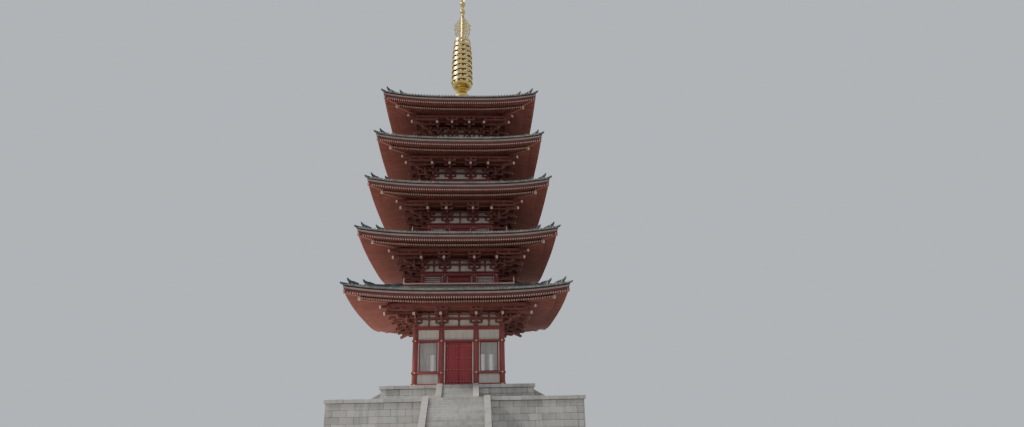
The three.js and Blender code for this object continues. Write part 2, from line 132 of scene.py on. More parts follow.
# The stone base.
TERRACE_INSET = 0.12
MASONRY_DEPTH = 0.1
MASONRY_JOINT = 0.012
PAVING_JOINT = 0.008
COPING_WIDTH = 0.55
TREAD = 0.3
CHEEK = 0.5

# Where the eye stands, its lens in pixels of the picture's width, and how it is tilted up, turned to
# the right and rolled.
EYE = (1.428, -60.555, 1.6)
LENS_PIXELS = 600
PICTURE_WIDTH = 1024
SENSOR_WIDTH = 36
PITCH, TURN_RIGHT, ROLL = 20.796, 3.85, -1.379


def full(node):
    """A node's lowest and highest corners, in metres of the full-size tower."""
    low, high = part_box(node)
    return low / SCALE, high / SCALE


class Storey:
    """One storey's driving sizes, read from the frame."""

    def __init__(self, number):
        self.number = number
        self.bay = BAYS[number - 1]
        self.eave = full(f"eaves_{number}")[1].x
        self.body = full(f"walls_{number}")[1].x - WALL_PROUD
        self.head = full(f"frame_{number}")[1].z
        self.fascia = self.head + HEAD_TO_FASCIA
        self.sill = full(f"frame_{number}")[0].z
        self.deck = full(f"floor_{number}")[1].x if number > 1 else 0
        self.floor = full(f"floor_{number}" if number > 1 else "platform")[1].z
        self.base_tip = self.eave - BASE_SETBACK
        self.column = COLUMN_RADIUS if number > 1 else GROUND_COLUMN_RADIUS
        self.lines = (-self.body, -self.bay, self.bay, self.body)
        self.door_head = full(f"doors_{number}")[1].z
        self.window_sill = self.sill + (WINDOW_SILL if number > 1 else GROUND_WINDOW_SILL)
        if number < 5:
            upper = full(f"floor_{number + 1}")
            self.rim = upper[1].x - RIM_INSET
            self.rim_height = upper[0].z
            self.ridge_end = upper[1].x
            self.sag = ROOF_SAG
        else:
            self.rim = TOP_RIM
            self.rim_height = TOP_RIM_HEIGHT
            self.ridge_end = TOP_CAP
            self.sag = TOP_SAG

    def lift(self, out):
        """How far the eave has risen at a corner, at a distance from the axis."""
        share = np.clip((out - self.body) / (self.eave - self.body), 0, LIFT_LIMIT)
        return SWEEP * share**LIFT_POWER

    def swept(self, x, out, height):
        """A height above the fascia's mid-line, lifted by the upturn of the eave."""
        return self.fascia + height + self.lift(out) * np.abs(x / out) ** SWEEP_POWER

    def underside(self, out):
        """The underside of the base rafters, from the fascia's mid-line."""
        return BASE_TIP + BASE_SLOPE * (self.base_tip - out)

    def slope(self, x, out):
        """The height of the roof's surface."""
        edge = self.eave + TILE_OVERHANG
        share = np.clip((edge - out) / (edge - self.rim), 0, 1)
        climb = share * (1 - self.sag) + self.sag * share**2
        low = self.fascia + TILE_EDGE
        rise = (self.rim_height - low) * climb
        return low + rise + SWEEP * (1 - share) ** 2 * np.abs(x / out) ** SWEEP_POWER


STOREYS = [Storey(number) for number in range(1, 6)]


class Shape:
    """Points and faces of a small part. Each face has the number of its finish. Faces that make up
    one unit, such as a tile in a row, share a tone."""

    def __init__(self, points, faces, paint=0, unit=0):
        self.points = np.asarray(points, float).reshape(-1, 3)
        self.faces = faces
        self.paint = [paint] * len(faces) if isinstance(paint, int) else paint
        self.unit = unit or len(faces)

    def moved(self, x=0.0, y=0.0, z=0.0):
        return Shape(self.points + (x, y, z), self.faces, self.paint, self.unit)

    def turned(self, angle):
        cos, sin = math.cos(angle), math.sin(angle)
        turn = np.array([[cos, sin, 0], [-sin, cos, 0], [0, 0, 1]])
        return Shape(self.points @ turn, self.faces, self.paint, self.unit)


class Piece:
    """Gathers shapes and makes one joined mesh of them, with a tone for each face."""

    def __init__(self, name, slot, finishes, replaces=()):
        self.name, self.slot, self.finishes, self.replaces = name, slot, finishes, replaces
        self.points, self.faces, self.paint, self.tones, self.count = [], [], [], [], 0
        self.random = np.random.default_rng(len(name) * 7919 + sum(map(ord, name)))

    def add(self, shape, tone=None):
        """Adds a shape, with a tone of its own for each of its units unless one is given."""
        units = -(-len(shape.faces) // shape.unit)
        tones = self.random.random(units) if tone is None else np.full(units, tone)
        self.points.append(shape.points)
        count = self.count
        self.faces.extend([tuple([i + count for i in face]) for face in shape.faces])
        self.paint.extend(shape.paint)
        self.tones.append(np.repeat(tones, shape.unit)[: len(shape.faces)])
        self.count += len(shape.points)

    def add_round(self, shapes, angles=QUARTERS, tone=None):
        """Adds the shapes of the front side on all four sides, or at other angles."""
        for angle in angles:
            for shape in shapes:
                self.add(shape.turned(angle), tone)

    def make(self, smooth_below=SMOOTH_BELOW):
        mesh = bpy.data.meshes.new(self.name)
        mesh.from_pydata(np.concatenate(self.points) * SCALE, [], self.faces)
        for finish in self.finishes:
            mesh.materials.append(MATERIALS[finish])
        mesh.polygons.foreach_set("material_index", np.array(self.paint, np.int32))
        tone = mesh.attributes.new("tone", "FLOAT", "FACE")
        tone.data.foreach_set("value", np.concatenate(self.tones).astype(np.float32))
        mesh.shade_smooth()
        mesh.set_sharp_from_angle(angle=math.radians(smooth_below))
        mesh.validate()
        mesh.update()
        piece = placed(self.name, mesh)
        if self.replaces:
            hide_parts(*self.replaces)
        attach(piece, "root")


def placed(name, data):
    """An object of the scene that holds a mesh, a light or a camera."""
    thing = bpy.data.objects.new(name, data)
    bpy.context.scene.collection.objects.link(thing)
    return thing


def outward(points, faces):
    """Turns the faces of a convex form away from its middle."""
    points = np.asarray(points, float)
    middle = points.mean(0)
    turned = []
    for face in faces:
        a, b, c = points[face[0]], points[face[1]], points[face[2]]
        away = points[list(face)].mean(0) - middle
        turned.append(face if np.dot(np.cross(b - a, c - b), away) > 0 else face[::-1])
    return turned


def chamfered_faces():
    """The faces of a box whose twelve edges are cut back: three points stand at each corner."""

    def corner(axis, end, u, v):
        place = [u, v]
        place.insert(axis, end)
        return 3 * (4 * place[0] + 2 * place[1] + place[2])

    faces = []
    for axis in range(3):
        one, two = [i for i in range(3) if i != axis]
        for end in (0, 1):
            loop = [corner(axis, end, u, v) + axis for u, v in ((0, 0), (1, 0), (1, 1), (0, 1))]
            faces.append(tuple(loop))
        for u, v in ((0, 0), (0, 1), (1, 0), (1, 1)):
            a, b = corner(axis, 0, u, v), corner(axis, 1, u, v)
            faces.append((a + one, b + one, b + two, a + two))
    faces.extend((start, start + 1, start + 2) for start in range(0, 24, 3))
    return faces


CORNERS = np.array([(a, b, c) for a in (0, 1) for b in (0, 1) for c in (0, 1)])
# A corner of a chamfered box has three points, each on one of the faces that meet there.
INWARD = (1 - 2 * np.repeat(CORNERS, 3, axis=0)) * (1 - np.tile(np.eye(3), (8, 1)))
BOX_FACES = outward(
    CORNERS, [(0, 1, 3, 2), (4, 5, 7, 6), (0, 1, 5, 4), (2, 3, 7, 6), (0, 2, 6, 4), (1, 3, 7, 5)]
)
CHAMFERED_FACES = outward(np.repeat(CORNERS, 3, axis=0) + INWARD / 8, chamfered_faces())


def block(low, high, chamfer=0.0, paint=0):
    """A box between two corners, with its edges cut back by a chamfer."""
    low, high = np.array(low, float), np.array(high, float)
    corners = low + CORNERS * (high - low)
    if not chamfer:
        return Shape(corners, BOX_FACES, paint)
    return Shape(np.repeat(corners, 3, axis=0) + INWARD * chamfer, CHAMFERED_FACES, paint)


def skin(rings, ends=True, paint=0, last_paint=None, tile=0):
    """Joins rings of points one after the other. Seen from the last ring, their points run
    counter-clockwise. The first and last are closed over, or else joined to each other."""
    rings = np.asarray(rings, float)
    count, size = rings.shape[:2]
    faces = []
    for r in range(count - 1 if ends else count):
        a, b = r * size, (r + 1) % count * size
        faces.extend([(a + i, a + (i + 1) % size, b + (i + 1) % size, b + i) for i in range(size)])
    colours = [paint] * len(faces)
    if ends:
        faces.append(tuple(range(size))[::-1])
        faces.append(tuple(range((count - 1) * size, count * size)))
        colours += [paint, paint if last_paint is None else last_paint]
    return Shape(rings, faces, colours, tile * size)


def lathe(profile, sides=24, paint=0, closed=False):
    """A round form about the axis. The profile runs up its outside as radius and height."""
    angles = np.linspace(0, 2 * math.pi, sides, endpoint=False)
    points, rows = [], []
    for radius, z in profile:
        if radius < 1e-6:
            rows.append([len(points)] * sides)
            points.append((0, 0, z))
        else:
            rows.append(list(range(len(points), len(points) + sides)))
            points.extend((radius * math.cos(a), radius * math.sin(a), z) for a in angles)
    if closed:
        rows.append(rows[0])
    faces = []
    for low, high in zip(rows, rows[1:]):
        for i in range(sides):
            j = (i + 1) % sides
            face = tuple(dict.fromkeys((low[i], low[j], high[j], high[i])))
            if len(face) > 2:
                faces.append(face)
    return Shape(points, faces, paint)


def facing_forward(profile, sides, paint=0):
    """A round form that faces forward. Its profile is radius and distance forward."""
    shape = lathe(profile, sides)
    return Shape(shape.points[:, [0, 2, 1]] * (1, -1, 1), shape.faces, paint)


def plate(outline, depth):
    """An outline of (x, z) points, counter-clockwise as seen from the front, given a depth along y."""
    return skin([[(x, y, z) for x, z in outline] for y in (depth / 2, -depth / 2)])


def side_plate(outline, width, paint=0):
    """An outline of (distance out, z) points, counter-clockwise with out to the right, given a width."""
    return skin([[(x, -out, z) for out, z in outline] for x in (width / 2, -width / 2)], paint=paint)


def square_loop(out, stations, height):
    """A loop of points round the four sides. Its height is a function of the place along a side."""
    loop = []
    for angle in QUARTERS:
        cos, sin = math.cos(angle), math.sin(angle)
        for t in stations:
            loop.append((t * out * cos + out * sin, t * out * sin - out * cos, height(t * out)))
    return loop


def square_sweep(section, paint=0):
    """Sweeps a closed section round the four sides."""
    return skin([square_loop(out, (-1,), lambda x: z) for out, z in section], ends=False, paint=paint)


def eave_sweep(storey, section, paint=0):
    """Sweeps a closed section round the four sides, lifted by the upturn of the eave."""
    rings = [square_loop(out, EAVE_STATIONS, lambda x: storey.swept(x, out, z)) for out, z in section]
    return skin(rings, ends=False, paint=paint)


def square_ring(outer, inner, low, high, paint=0, chamfer=0.0):
    """A level square ring, with its outer edges cut back."""
    section = [(outer, low), (outer, high)]
    if chamfer:
        c = chamfer
        section = [(outer - c, low), (outer, low + c), (outer, high - c), (outer - c, high)]
    return square_sweep(section + [(inner, high), (inner, low)], paint)


def rod(start, end, radius, sides):
    """A round bar between two points."""
    start, end = np.array(start, float), np.array(end, float)
    axis = (end - start) / np.linalg.norm(end - start)
    side = np.cross(axis, np.eye(3)[np.argmin(np.abs(axis))])
    side /= np.linalg.norm(side)
    other = np.cross(axis, side)
    angles = np.linspace(0, 2 * math.pi, sides, endpoint=False)
    round_it = np.outer(np.cos(angles), side) + np.outer(np.sin(angles), other)
    return skin([start + round_it * radius, end + round_it * radius])


def horn(path, radii):
    """A round tapering bar along a bent path of (out, z) points."""
    path = np.array(path, float)
    angles = [2 * math.pi * k / HORN_SIDES for k in range(HORN_SIDES)]
    rings = []
    for i, (out, z) in enumerate(path):
        along = path[min(i + 1, len(path) - 1)] - path[max(i - 1, 0)]
        along = along / np.linalg.norm(along)
        normal = np.array([-along[1], along[0]]) * radii[i]
        rings.append([
            (radii[i] * math.cos(a), -(out + normal[0] * math.sin(a)), z + normal[1] * math.sin(a))
            for a in angles
        ])
    return skin(rings)


def fine_stations(count):
    """Stations along a side that close up towards its corners."""
    t = np.linspace(-1, 1, count + 1)[:-1]
    return tuple(np.sign(t) * np.abs(t) ** 0.75)


EAVE_STATIONS = fine_stations(EAVE_STEPS)


def timber_bar(inner, outer, width, height, paint=0, end_paint=1):
    """A square bar whose underside runs between two points of the front side, with chamfered lower
    edges. Its outer end has a paint of its own."""
    c = width * 0.16
    outline = [
        (-width / 2, height), (-width / 2, c), (-width / 2 + c, 0),
        (width / 2 - c, 0), (width / 2, c), (width / 2, height),
    ]
    rings = [[(p[0] + u, p[1], p[2] + w) for u, w in outline] for p in (inner, outer)]
    return skin(rings, paint=paint, last_paint=end_paint)


def rafter_tier(storey, inner, outer, under_inner, under_outer, size, reach):
    """One tier of parallel rafters on the front side, cut short where they meet the hip."""
    shapes = []
    count = int(reach / RAFTER_PITCH)
    for i in range(-count, count):
        x = (i + 0.5) * RAFTER_PITCH
        start = max(inner, abs(x) + HIP_CLEAR)
        if outer - start < SHORTEST_RAFTER:
            continue
        share = (start - inner) / (outer - inner)
        low_in = storey.swept(x, start, under_inner + (under_outer - under_inner) * share)
        low_out = storey.swept(x, outer, under_outer)
        shapes.append(timber_bar((x, -start, low_in), (x, -outer, low_out), *size))
    return shapes


def hip_rafter(storey, inner, outer, height_in, height_out, width, depth):
    """A rafter along the diagonal, in the front-facing frame before its turn of an eighth."""
    half = width / 2
    rings = []
    for out in np.linspace(inner, outer, 7):
        share = (out - inner) / (outer - inner)
        low = storey.swept(out, out, height_in + (height_out - height_in) * share)
        section = ((-half, low + depth), (-half, low), (half, low), (half, low + depth))
        rings.append([(x, -out * ROOT_TWO, z) for x, z in section])
    return skin(rings)


def hip_shoe(y, low, width, depth, paint):
    """A metal shoe over the end of a hip rafter."""
    half, wall = width / 2 + 0.015, 0.015
    return block((-half, y - 0.02, low - wall), (half, y + 0.16, low + depth + wall), 0.012, paint)


def make_eaves(storey):
    number = storey.number
    finishes = ["soffit_paint", "cream_paint", "bracket_paint"]
    piece = Piece(f"rafters_{number}", "eave_wood", finishes, [f"eaves_{number}"])
    eave, body, tip, under = storey.eave, storey.body, storey.base_tip, storey.underside
    base = (body + 0.02, tip + 0.04, under(body), under(tip + 0.04), BASE_RAFTER, tip)
    flying = (tip - 0.45, eave - 0.05, FLYING_ROOT, FLYING_TIP, FLYING_RAFTER, eave - 0.1)
    piece.add_round(rafter_tier(storey, *base) + rafter_tier(storey, *flying))
    inner = body - WALL_INNER
    boards = [
        (eave - 0.06, -0.24), (eave - 0.06, -0.2), (tip, -0.09), (inner, under(body) + 0.3),
        (inner, under(body) + 0.16), (tip - 0.4, under(tip - 0.4) + 0.16), (tip - 0.3, -0.12),
    ]
    piece.add(eave_sweep(storey, boards), PLAIN)
    for inner, outer, low_in, low_out, size, shoe in (
        (body - 0.2, tip - 0.08, under(body) - 0.08, BASE_TIP - 0.1, (0.24, 0.34), 1),
        (tip - 0.6, eave - 0.04, -0.3, -0.42, (0.22, 0.3), 2),
    ):
        end = (-outer * ROOT_TWO, storey.swept(outer, outer, low_out))
        rafter = hip_rafter(storey, inner, outer, low_in, low_out, *size)
        piece.add_round([rafter, hip_shoe(*end, *size, shoe)], DIAGONALS)
    piece.make()

    # The fascias take a paint that is darkened as painted shade, for the eave's front that stands in shade.
    edge = Piece(f"fascia_{number}", "vermilion", ["fascia_paint", "batten_wood"])
    inner_fascia = [(tip - 0.02, -0.385), (tip - 0.02, -0.29), (tip - 0.18, -0.275), (tip - 0.18, -0.385)]
    outer_fascia = [
        (eave - 0.04, -0.235), (eave, -0.215), (eave, -0.03), (eave - 0.02, -0.015),
        (eave - 0.22, -0.015), (eave - 0.22, -0.235),
    ]
    # A board in the recess under the eave tiles, in the darkened fascia paint: a dark sheet as painted shade.
    recess_shade_board = [(eave - 0.1, 0.19), (eave - 0.1, 0.3), (eave - 0.3, 0.3), (eave - 0.3, 0.19)]
    batten = [
        (eave + 0.02, -0.01), (eave + 0.05, 0.02), (eave + 0.06, 0.15), (eave + 0.04, 0.17),
        (eave - 0.3, 0.19), (eave - 0.3, -0.01),
    ]
    for section, paint in ((inner_fascia, 0), (outer_fascia, 0), (recess_shade_board, 0), (batten, 1)):
        edge.add(eave_sweep(storey, section, paint), PLAIN)
    edge.make()


def tile_ends(start, stop):
    """Where each tile of a row up the slope has its lower and its upper end."""
    outs = np.linspace(start, stop, max(1, round((start - stop) / TILE_LENGTH)) + 1)
    return zip(outs, outs[1:])


def cover_row(storey, x, start, stop):
    """One row of half-round tiles up the slope, each lapped under the next one up."""
    rings = []
    for lower, upper in tile_ends(start, stop):
        for out, r in ((lower, COVER_RADIUS), (upper, COVER_RADIUS * 0.86)):
            z = storey.slope(x, out) + 0.02
            rings.append([(x + r * u, -out, z + r * w) for u, w in COVER_BEND])
    return skin(rings, tile=2)


def pan_row(storey, x, start, stop):
    """One row of hollow tiles between two rows of half-round ones."""
    half = TILE_PITCH / 2 - 0.04
    rings = []
    for lower, upper in tile_ends(start, stop):
        for out, raised in ((lower, 0.045), (upper, 0.015)):
            z = storey.slope(x, out) + raised
            section = ((0, -0.1), (-half, 0.02), (0, -0.02), (half, 0.02))
            rings.append([(x + u, -out, z + w) for u, w in section])
    return skin(rings, tile=2)


# The round end tile at the eave: a raised rim, a hollow and a plain boss.
END_DISC = facing_forward([
    (0, 0), (DISC_RADIUS, 0), (DISC_RADIUS, 0.05), (DISC_RADIUS * 0.76, 0.05), (DISC_RADIUS * 0.62, 0.03),
    (0, 0.03),
], 8)


def make_roof(storey):
    number = storey.number
    edge = storey.eave + TILE_OVERHANG
    tiles = Piece(f"roof_tiles_{number}", "tile", ["roof_tile"], [f"roof_{number}"])
    rows = []
    count = int((edge - 0.1) / TILE_PITCH)
    for i in range(-count, count + 1):
        x = i * TILE_PITCH
        stop = max(storey.rim - 0.02, abs(x) + 0.1)
        if edge - stop > SHORTEST_ROW:
            rows.append(cover_row(storey, x, edge, stop))
            rows.append(END_DISC.moved(x, -edge, storey.slope(x, edge) + 0.045))
        x += TILE_PITCH / 2
        stop = max(storey.rim - 0.02, abs(x) + 0.05)
        if i < count and edge - stop > SHORTEST_ROW:
            rows.append(pan_row(storey, x, edge - 0.03, stop))
            z = storey.slope(x, edge)
            rows.append(block((x - 0.12, -edge - 0.01, z - 0.07), (x + 0.12, -edge + 0.05, z + 0.04)))
    tiles.add_round(rows)
    outs = np.linspace(edge - 0.25, storey.rim, 9)
    levels = [(edge - 0.02, -0.01)] + [(out, -0.01) for out in outs]
    levels += [(out, -0.18) for out in outs[::-1]] + [(edge - 0.02, -0.06)]
    rings = [
        square_loop(out, EAVE_STATIONS, lambda x: storey.slope(x, out) + raised) for out, raised in levels
    ]
    tiles.add(skin(rings, ends=False), PLAIN)
    if number == 5:
        low, high = TOP_RIM_HEIGHT - 0.2, full("roof_5")[1].z
        tiles.add(block((-TOP_CAP, -TOP_CAP, low), (TOP_CAP, TOP_CAP, high), 0.02), PLAIN)
    tiles.make()


def ridge_run(storey, start, stop, courses):
    """A hip ridge from its lower end inwards: courses of flat tiles under a half-round cap."""
    outs = np.linspace(start, stop, max(3, round((start - stop) / RIDGE_TILE) + 1))
    z, cap = RIDGE_FOOT, 0.09
    outline = [(0.15, z)]
    for course in range(courses):
        wide = 0.15 if course % 2 == 0 else 0.125
        outline += [(wide, z + 0.005), (wide, z + 0.06)]
        z += 0.065
    outline += [(cap * math.cos(a), z + cap * math.sin(a)) for a in np.linspace(0, math.pi / 2, 4)]
    outline += [(-u, w) for u, w in reversed(outline[:-1])]
    shapes = []
    for lower, upper in zip(outs, outs[1:]):
        rings = []
        for out, grow in ((lower, 1.0), (upper + 0.012, 0.93)):
            z = storey.slope(out, out)
            rings.append([(-u * grow, -out * ROOT_TWO, z + w) for u, w in outline])
        shapes.append(skin(rings))
    return shapes


def ridge_end(storey, out, top, rise):
    """The closing tile of a ridge, a shield with a plain boss, and the horn that springs from it."""
    z = storey.slope(out, out)
    half = 0.21
    edge = [(half, -0.1), (half * 1.15, 0.1), (half * 0.8, top - 0.02), (half * 0.45, top + 0.08)]
    outline = [(-half, -0.1)] + edge + [(0, top + 0.12)] + [(-u, w) for u, w in reversed(edge[1:])]
    d = out * ROOT_TWO
    shield = plate(outline, 0.1).moved(0, -d - 0.03, z)
    rim = plate([(u * 0.72, 0.02 + w * 0.72) for u, w in outline], 0.05).moved(0, -d - 0.09, z)
    boss = END_DISC.moved(0, -d - 0.11, z + 0.14)
    low = z + top
    back = storey.slope(out - 0.6, out - 0.6) - z
    path = [(d - 0.85, low + back - 0.03), (d - 0.4, low + back * 0.5 + 0.03), (d - 0.05, low + 0.04)]
    path += [(d + HORN_REACH * far, low + rise * up) for far, up in ((0.5, 0.35), (0.8, 0.65), (1, 1))]
    return [shield, rim, boss, horn(path, [0.07, 0.11, 0.13, 0.13, 0.1, 0.05])]


def make_ridges(storey):
    ridges = Piece(f"hip_ridges_{storey.number}", "tile", ["ridge_tile"])
    edge = storey.eave + TILE_OVERHANG
    lower_end, upper_end = (edge - setback for setback in RIDGE_ENDS)
    shapes = ridge_run(storey, lower_end, upper_end - 0.05, 2)
    shapes += ridge_run(storey, upper_end, storey.ridge_end, 4)
    shapes += ridge_end(storey, lower_end, 0.26, 0.34)
    shapes += ridge_end(storey, upper_end, 0.36, 0.3)
    corner = storey.slope(edge, edge)
    path = ((-0.6, 0.04), (-0.1, 0.01), (0.12, 0.03), (0.28, 0.09))
    path = [(edge * ROOT_TWO + out, corner + raised) for out, raised in path]
    shapes.append(horn(path, [0.13, 0.14, 0.12, 0.07]))
    ridges.add_round(shapes, DIAGONALS)
    ridges.make()


def bearing_block(size, height):
    """A bracket's bearing block: a square head over a waist that curves in to its foot."""
    rings = []
    for wide, share in ((0.66, 0), (0.72, 0.22), (0.86, 0.4), (1, 0.48), (1, 1)):
        h, z = size * wide / 2, height * share
        rings.append([(-h, -h, z), (h, -h, z), (h, h, z), (-h, h, z)])
    return skin(rings)


def cross_arm(length, out, x, low, block_height=0.14, seats=(-1, 0, 1)):
    """An arm along the wall whose ends curve up from below. Small bearing blocks sit on it, at its
    ends and in its middle."""
    half, height = length / 2, 0.19
    curve = [(half - height * 1.3, 0), (half - height * 0.6, height * 0.14)]
    curve += [(half - height * 0.15, height * 0.42), (half, height * 0.7)]
    outline = [(-u, z) for u, z in reversed(curve)] + curve + [(half, height), (-half, height)]
    small = bearing_block(0.24, block_height)
    arm = plate(outline, 0.16).moved(x, -out, low)
    return [arm] + [small.moved(x + seat * (half - 0.14), -out, low + height) for seat in seats]


def out_arm(reach, back, low):
    """An arm that runs outwards, with its end curved up from below."""
    curve = ((0.26, 0), (0.12, 0.03), (0.03, 0.09), (0, 0.15), (0, 0.2))
    outline = [(back, low)] + [(reach - near, low + up) for near, up in curve] + [(back, low + 0.2)]
    return side_plate(outline, 0.17)


def tail_rafter(start, end, low, deep, drop, width):
    """A slanting bar that comes out through the brackets, with its sawn end painted."""
    high = low + (end - start) * drop
    bar = side_plate([(start, high), (end, low), (end + 0.03, low + deep), (start, high + deep)], width)
    cap = [(end - 0.01, low - 0.005), (end + 0.02, low - 0.01)]
    cap += [(end + 0.055, low + deep), (end + 0.03, low + deep + 0.005)]
    return [bar, side_plate(cap, width + 0.02, 1)]


def bracket_stack(storey, stretch=1.0, corner=False):
    """The outward arms of one bracket set, with the column line as its root."""
    e = storey.fascia
    root = storey.body * stretch

    def out(step):
        return root + step * stretch

    small = bearing_block(0.26, 0.15)
    shapes = [
        out_arm(out(STEP_ONE) + 0.12, root - 0.1, e + FIRST_ARM),
        out_arm(out(STEP_TWO) + 0.12, root - 0.1, e + SECOND_ARM),
        small.moved(0, -out(STEP_ONE), e - 1.36),
        small.moved(0, -out(STEP_TWO), e - 1.02),
    ]
    wide, deep = (0.23, 0.27) if corner else (0.2, 0.25)
    drop = 0.26 / stretch
    shapes += tail_rafter(out(0.3), out(2.6), e + TAIL_LOW, deep, drop, wide)
    if corner:
        shapes += tail_rafter(out(0.9), out(2.95), e + UPPER_TAIL_LOW, 0.24, drop, wide)
    shapes.append(bearing_block(0.26, 0.13).moved(0, -out(PURLIN_OUT), e + TAIL_LOW + deep + 0.05))
    return shapes


def make_brackets(storey):
    number = storey.number
    body, bay, e = storey.body, storey.bay, storey.fascia
    finishes = ["bracket_paint", "cream_paint"]
    piece = Piece(f"bracket_sets_{number}", "vermilion", finishes, [f"brackets_{number}"])
    shapes = []
    for x in storey.lines:
        shapes += [shape.moved(x) for shape in bracket_stack(storey)]
        if x < body:
            shapes.append(bearing_block(0.46, 0.24).moved(x, -body, storey.head))
        seats = (-1, 0, 1) if x < body else (-1, 1)
        shapes += cross_arm(1.3, body, x, e + FIRST_ARM, seats=seats)
        shapes.append(bearing_block(0.3, 0.1).moved(x, -body - 0.06, e - 0.98))
        shapes += cross_arm(1.2, body + 0.04, x, e - 0.9, 0.16)
        side = 1 if x > 0 else -1
        for step, low, tall in CROSS_ARMS:
            grow = step * 0.5 if abs(x) == body else 0
            shapes += cross_arm(1.25 + grow, body + step, x + side * grow, e + low, tall)
    for place in STRUT_BAYS[number]:
        x = place * (body + bay) / 2
        for low, high in ((-1.8, -1.37), (-0.98, -0.71)):
            shapes.append(block((x - 0.08, -body - 0.11, e + low), (x + 0.08, -body, e + high), 0.01))
            shapes.append(bearing_block(0.26, 0.16).moved(x, -body - 0.04, e + high))
    # Where arms cross at a corner, each is let in a little below the last.
    piece.add_round(shapes, QUARTERS[::2])
    piece.add_round([shape.moved(z=-LET_IN) for shape in shapes], QUARTERS[1::2])
    diagonal = [shape.moved(z=-2 * LET_IN) for shape in bracket_stack(storey, ROOT_TWO, True)]
    piece.add_round(diagonal, DIAGONALS)
    purlin_top = storey.underside(body + PURLIN_OUT)
    beams = ((STEP_ONE, -0.87, -0.75), (STEP_TWO, -0.58, -0.44), (PURLIN_OUT, -0.43, purlin_top))
    for step, low, high in ((0.04, -1.205, -0.98), (0.04, -0.55, -0.34)) + beams:
        centre = body + step
        piece.add(square_ring(centre + 0.09, centre - 0.09, e + low, e + high, 0, 0.015), PLAIN)
    for side in (-1, 1):
        for step, low, high in beams:
            run = body + step
            near, far = sorted((side * run, side * (run + 0.36)))
            foot, top = e + low + LET_IN, e + min(high, low + 0.16)
            piece.add_round([block((near, -run - 0.08, foot), (far, -run + 0.08, top), 0.012)])
    piece.make()


def make_upper_plaster(storey):
    """The plaster above the head beam, and the ribbed lining between the bracket arms."""
    body, e = storey.body, storey.fascia
    piece = Piece(f"upper_plaster_{storey.number}", "plaster", ["plaster", "bracket_paint"])
    face, back, top = body + WALL_PROUD, body - WALL_INNER, e + storey.underside(body)
    piece.add(square_sweep([(face, storey.head), (face, top), (back, top), (back, storey.head)]), PLAIN)
    for inner, outer, low_in, low_out in (
        (0.1, STEP_TWO - 0.08, -0.36, -0.5),
        (STEP_TWO + 0.08, 2.27, -0.47, -0.38),
    ):
        a, b = body + inner, body + outer
        lining = [(b, e + low_out), (b, e + low_out + 0.03), (a, e + low_in + 0.03), (a, e + low_in)]
        piece.add(square_sweep(lining, 1), 0.4)
        ribs = []
        count = int((b - 0.1) / RIB_PITCH)
        for i in range(-count, count + 1):
            x = i * RIB_PITCH
            start = max(a, abs(x))
            if b - start > 0.05:
                low = e + (low_in + (low_out - low_in) * (start - a) / (b - a)) - 0.035
                ends = (x, -start, low), (x, -b, e + low_out - 0.035)
                ribs.append(timber_bar(*ends, 0.05, 0.04, 1, 1))
        piece.add_round(ribs)
    piece.make()


def make_columns(storey):
    number = storey.number
    ground = number == 1
    body, r = storey.body, storey.column
    finishes = ["timber_paint", "gilt"]
    piece = Piece(f"columns_and_beams_{number}", "vermilion", finishes, [f"frame_{number}"])
    low, top = storey.sill, storey.head - HEAD_BEAM_DEPTH
    swell = [(r * 0.97, low), (r, low + 0.04), (r, top - 0.4), (r * 0.96, top - 0.12), (r * 0.88, top)]
    column = lathe([(0, low)] + swell + [(0, top)])
    for x in storey.lines:
        for y in storey.lines:
            if body in (abs(x), abs(y)):
                piece.add(column.moved(x, y))
    cap, inner = storey.head - HEAD_CAP_DEPTH, body - WALL_INNER
    piece.add(square_ring(body + 0.14, inner, top, cap, 0, 0.02), 0.4)
    piece.add(square_ring(body + 0.28, inner, cap, storey.head - 0.002, 0, 0.02), 0.6)
    height = 0.17 if ground else 0.09
    rails = [storey.sill, storey.door_head]
    if ground:
        rails.append(storey.window_sill - height)
    cover = nail_cover(0.09 if ground else 0.06)
    for z in rails:
        if storey.sill + 0.1 < z < storey.door_head - 0.1:
            piece.add_round(band_segments(storey, z, height))
        else:
            back = body + WALL_PROUD - 0.01
            piece.add(square_ring(body + r + 0.04, back, z, z + height, 0, 0.015), PLAIN)
        piece.add_round([cover.moved(x, -body - r - 0.04, z + height / 2) for x in storey.lines])
    piece.make()


def band_segments(storey, z, height):
    """A rail that stops at the doorway, as two lengths on the front side with mitred outer ends."""
    gap = storey.bay - storey.column
    face = storey.body + storey.column + 0.04
    back = storey.body + WALL_PROUD - 0.01
    cut, top = 0.015, z + height
    section = [(face - cut, z), (face, z + cut), (face, top - cut), (face - cut, top), (back, top), (back, z)]

    def ring(side, mitred):
        return [(side * (out if mitred else gap), -out, level) for out, level in section]

    return [skin([ring(-1, False), ring(-1, True)]), skin([ring(1, True), ring(1, False)])]


def nail_cover(radius):
    """A low six-sided metal boss over a nail head."""
    profile = [(0, 0), (radius, 0), (radius * 0.9, 0.015), (radius * 0.45, 0.02), (radius * 0.3, 0.04)]
    return facing_forward(profile + [(0, 0.04)], 6, 1)


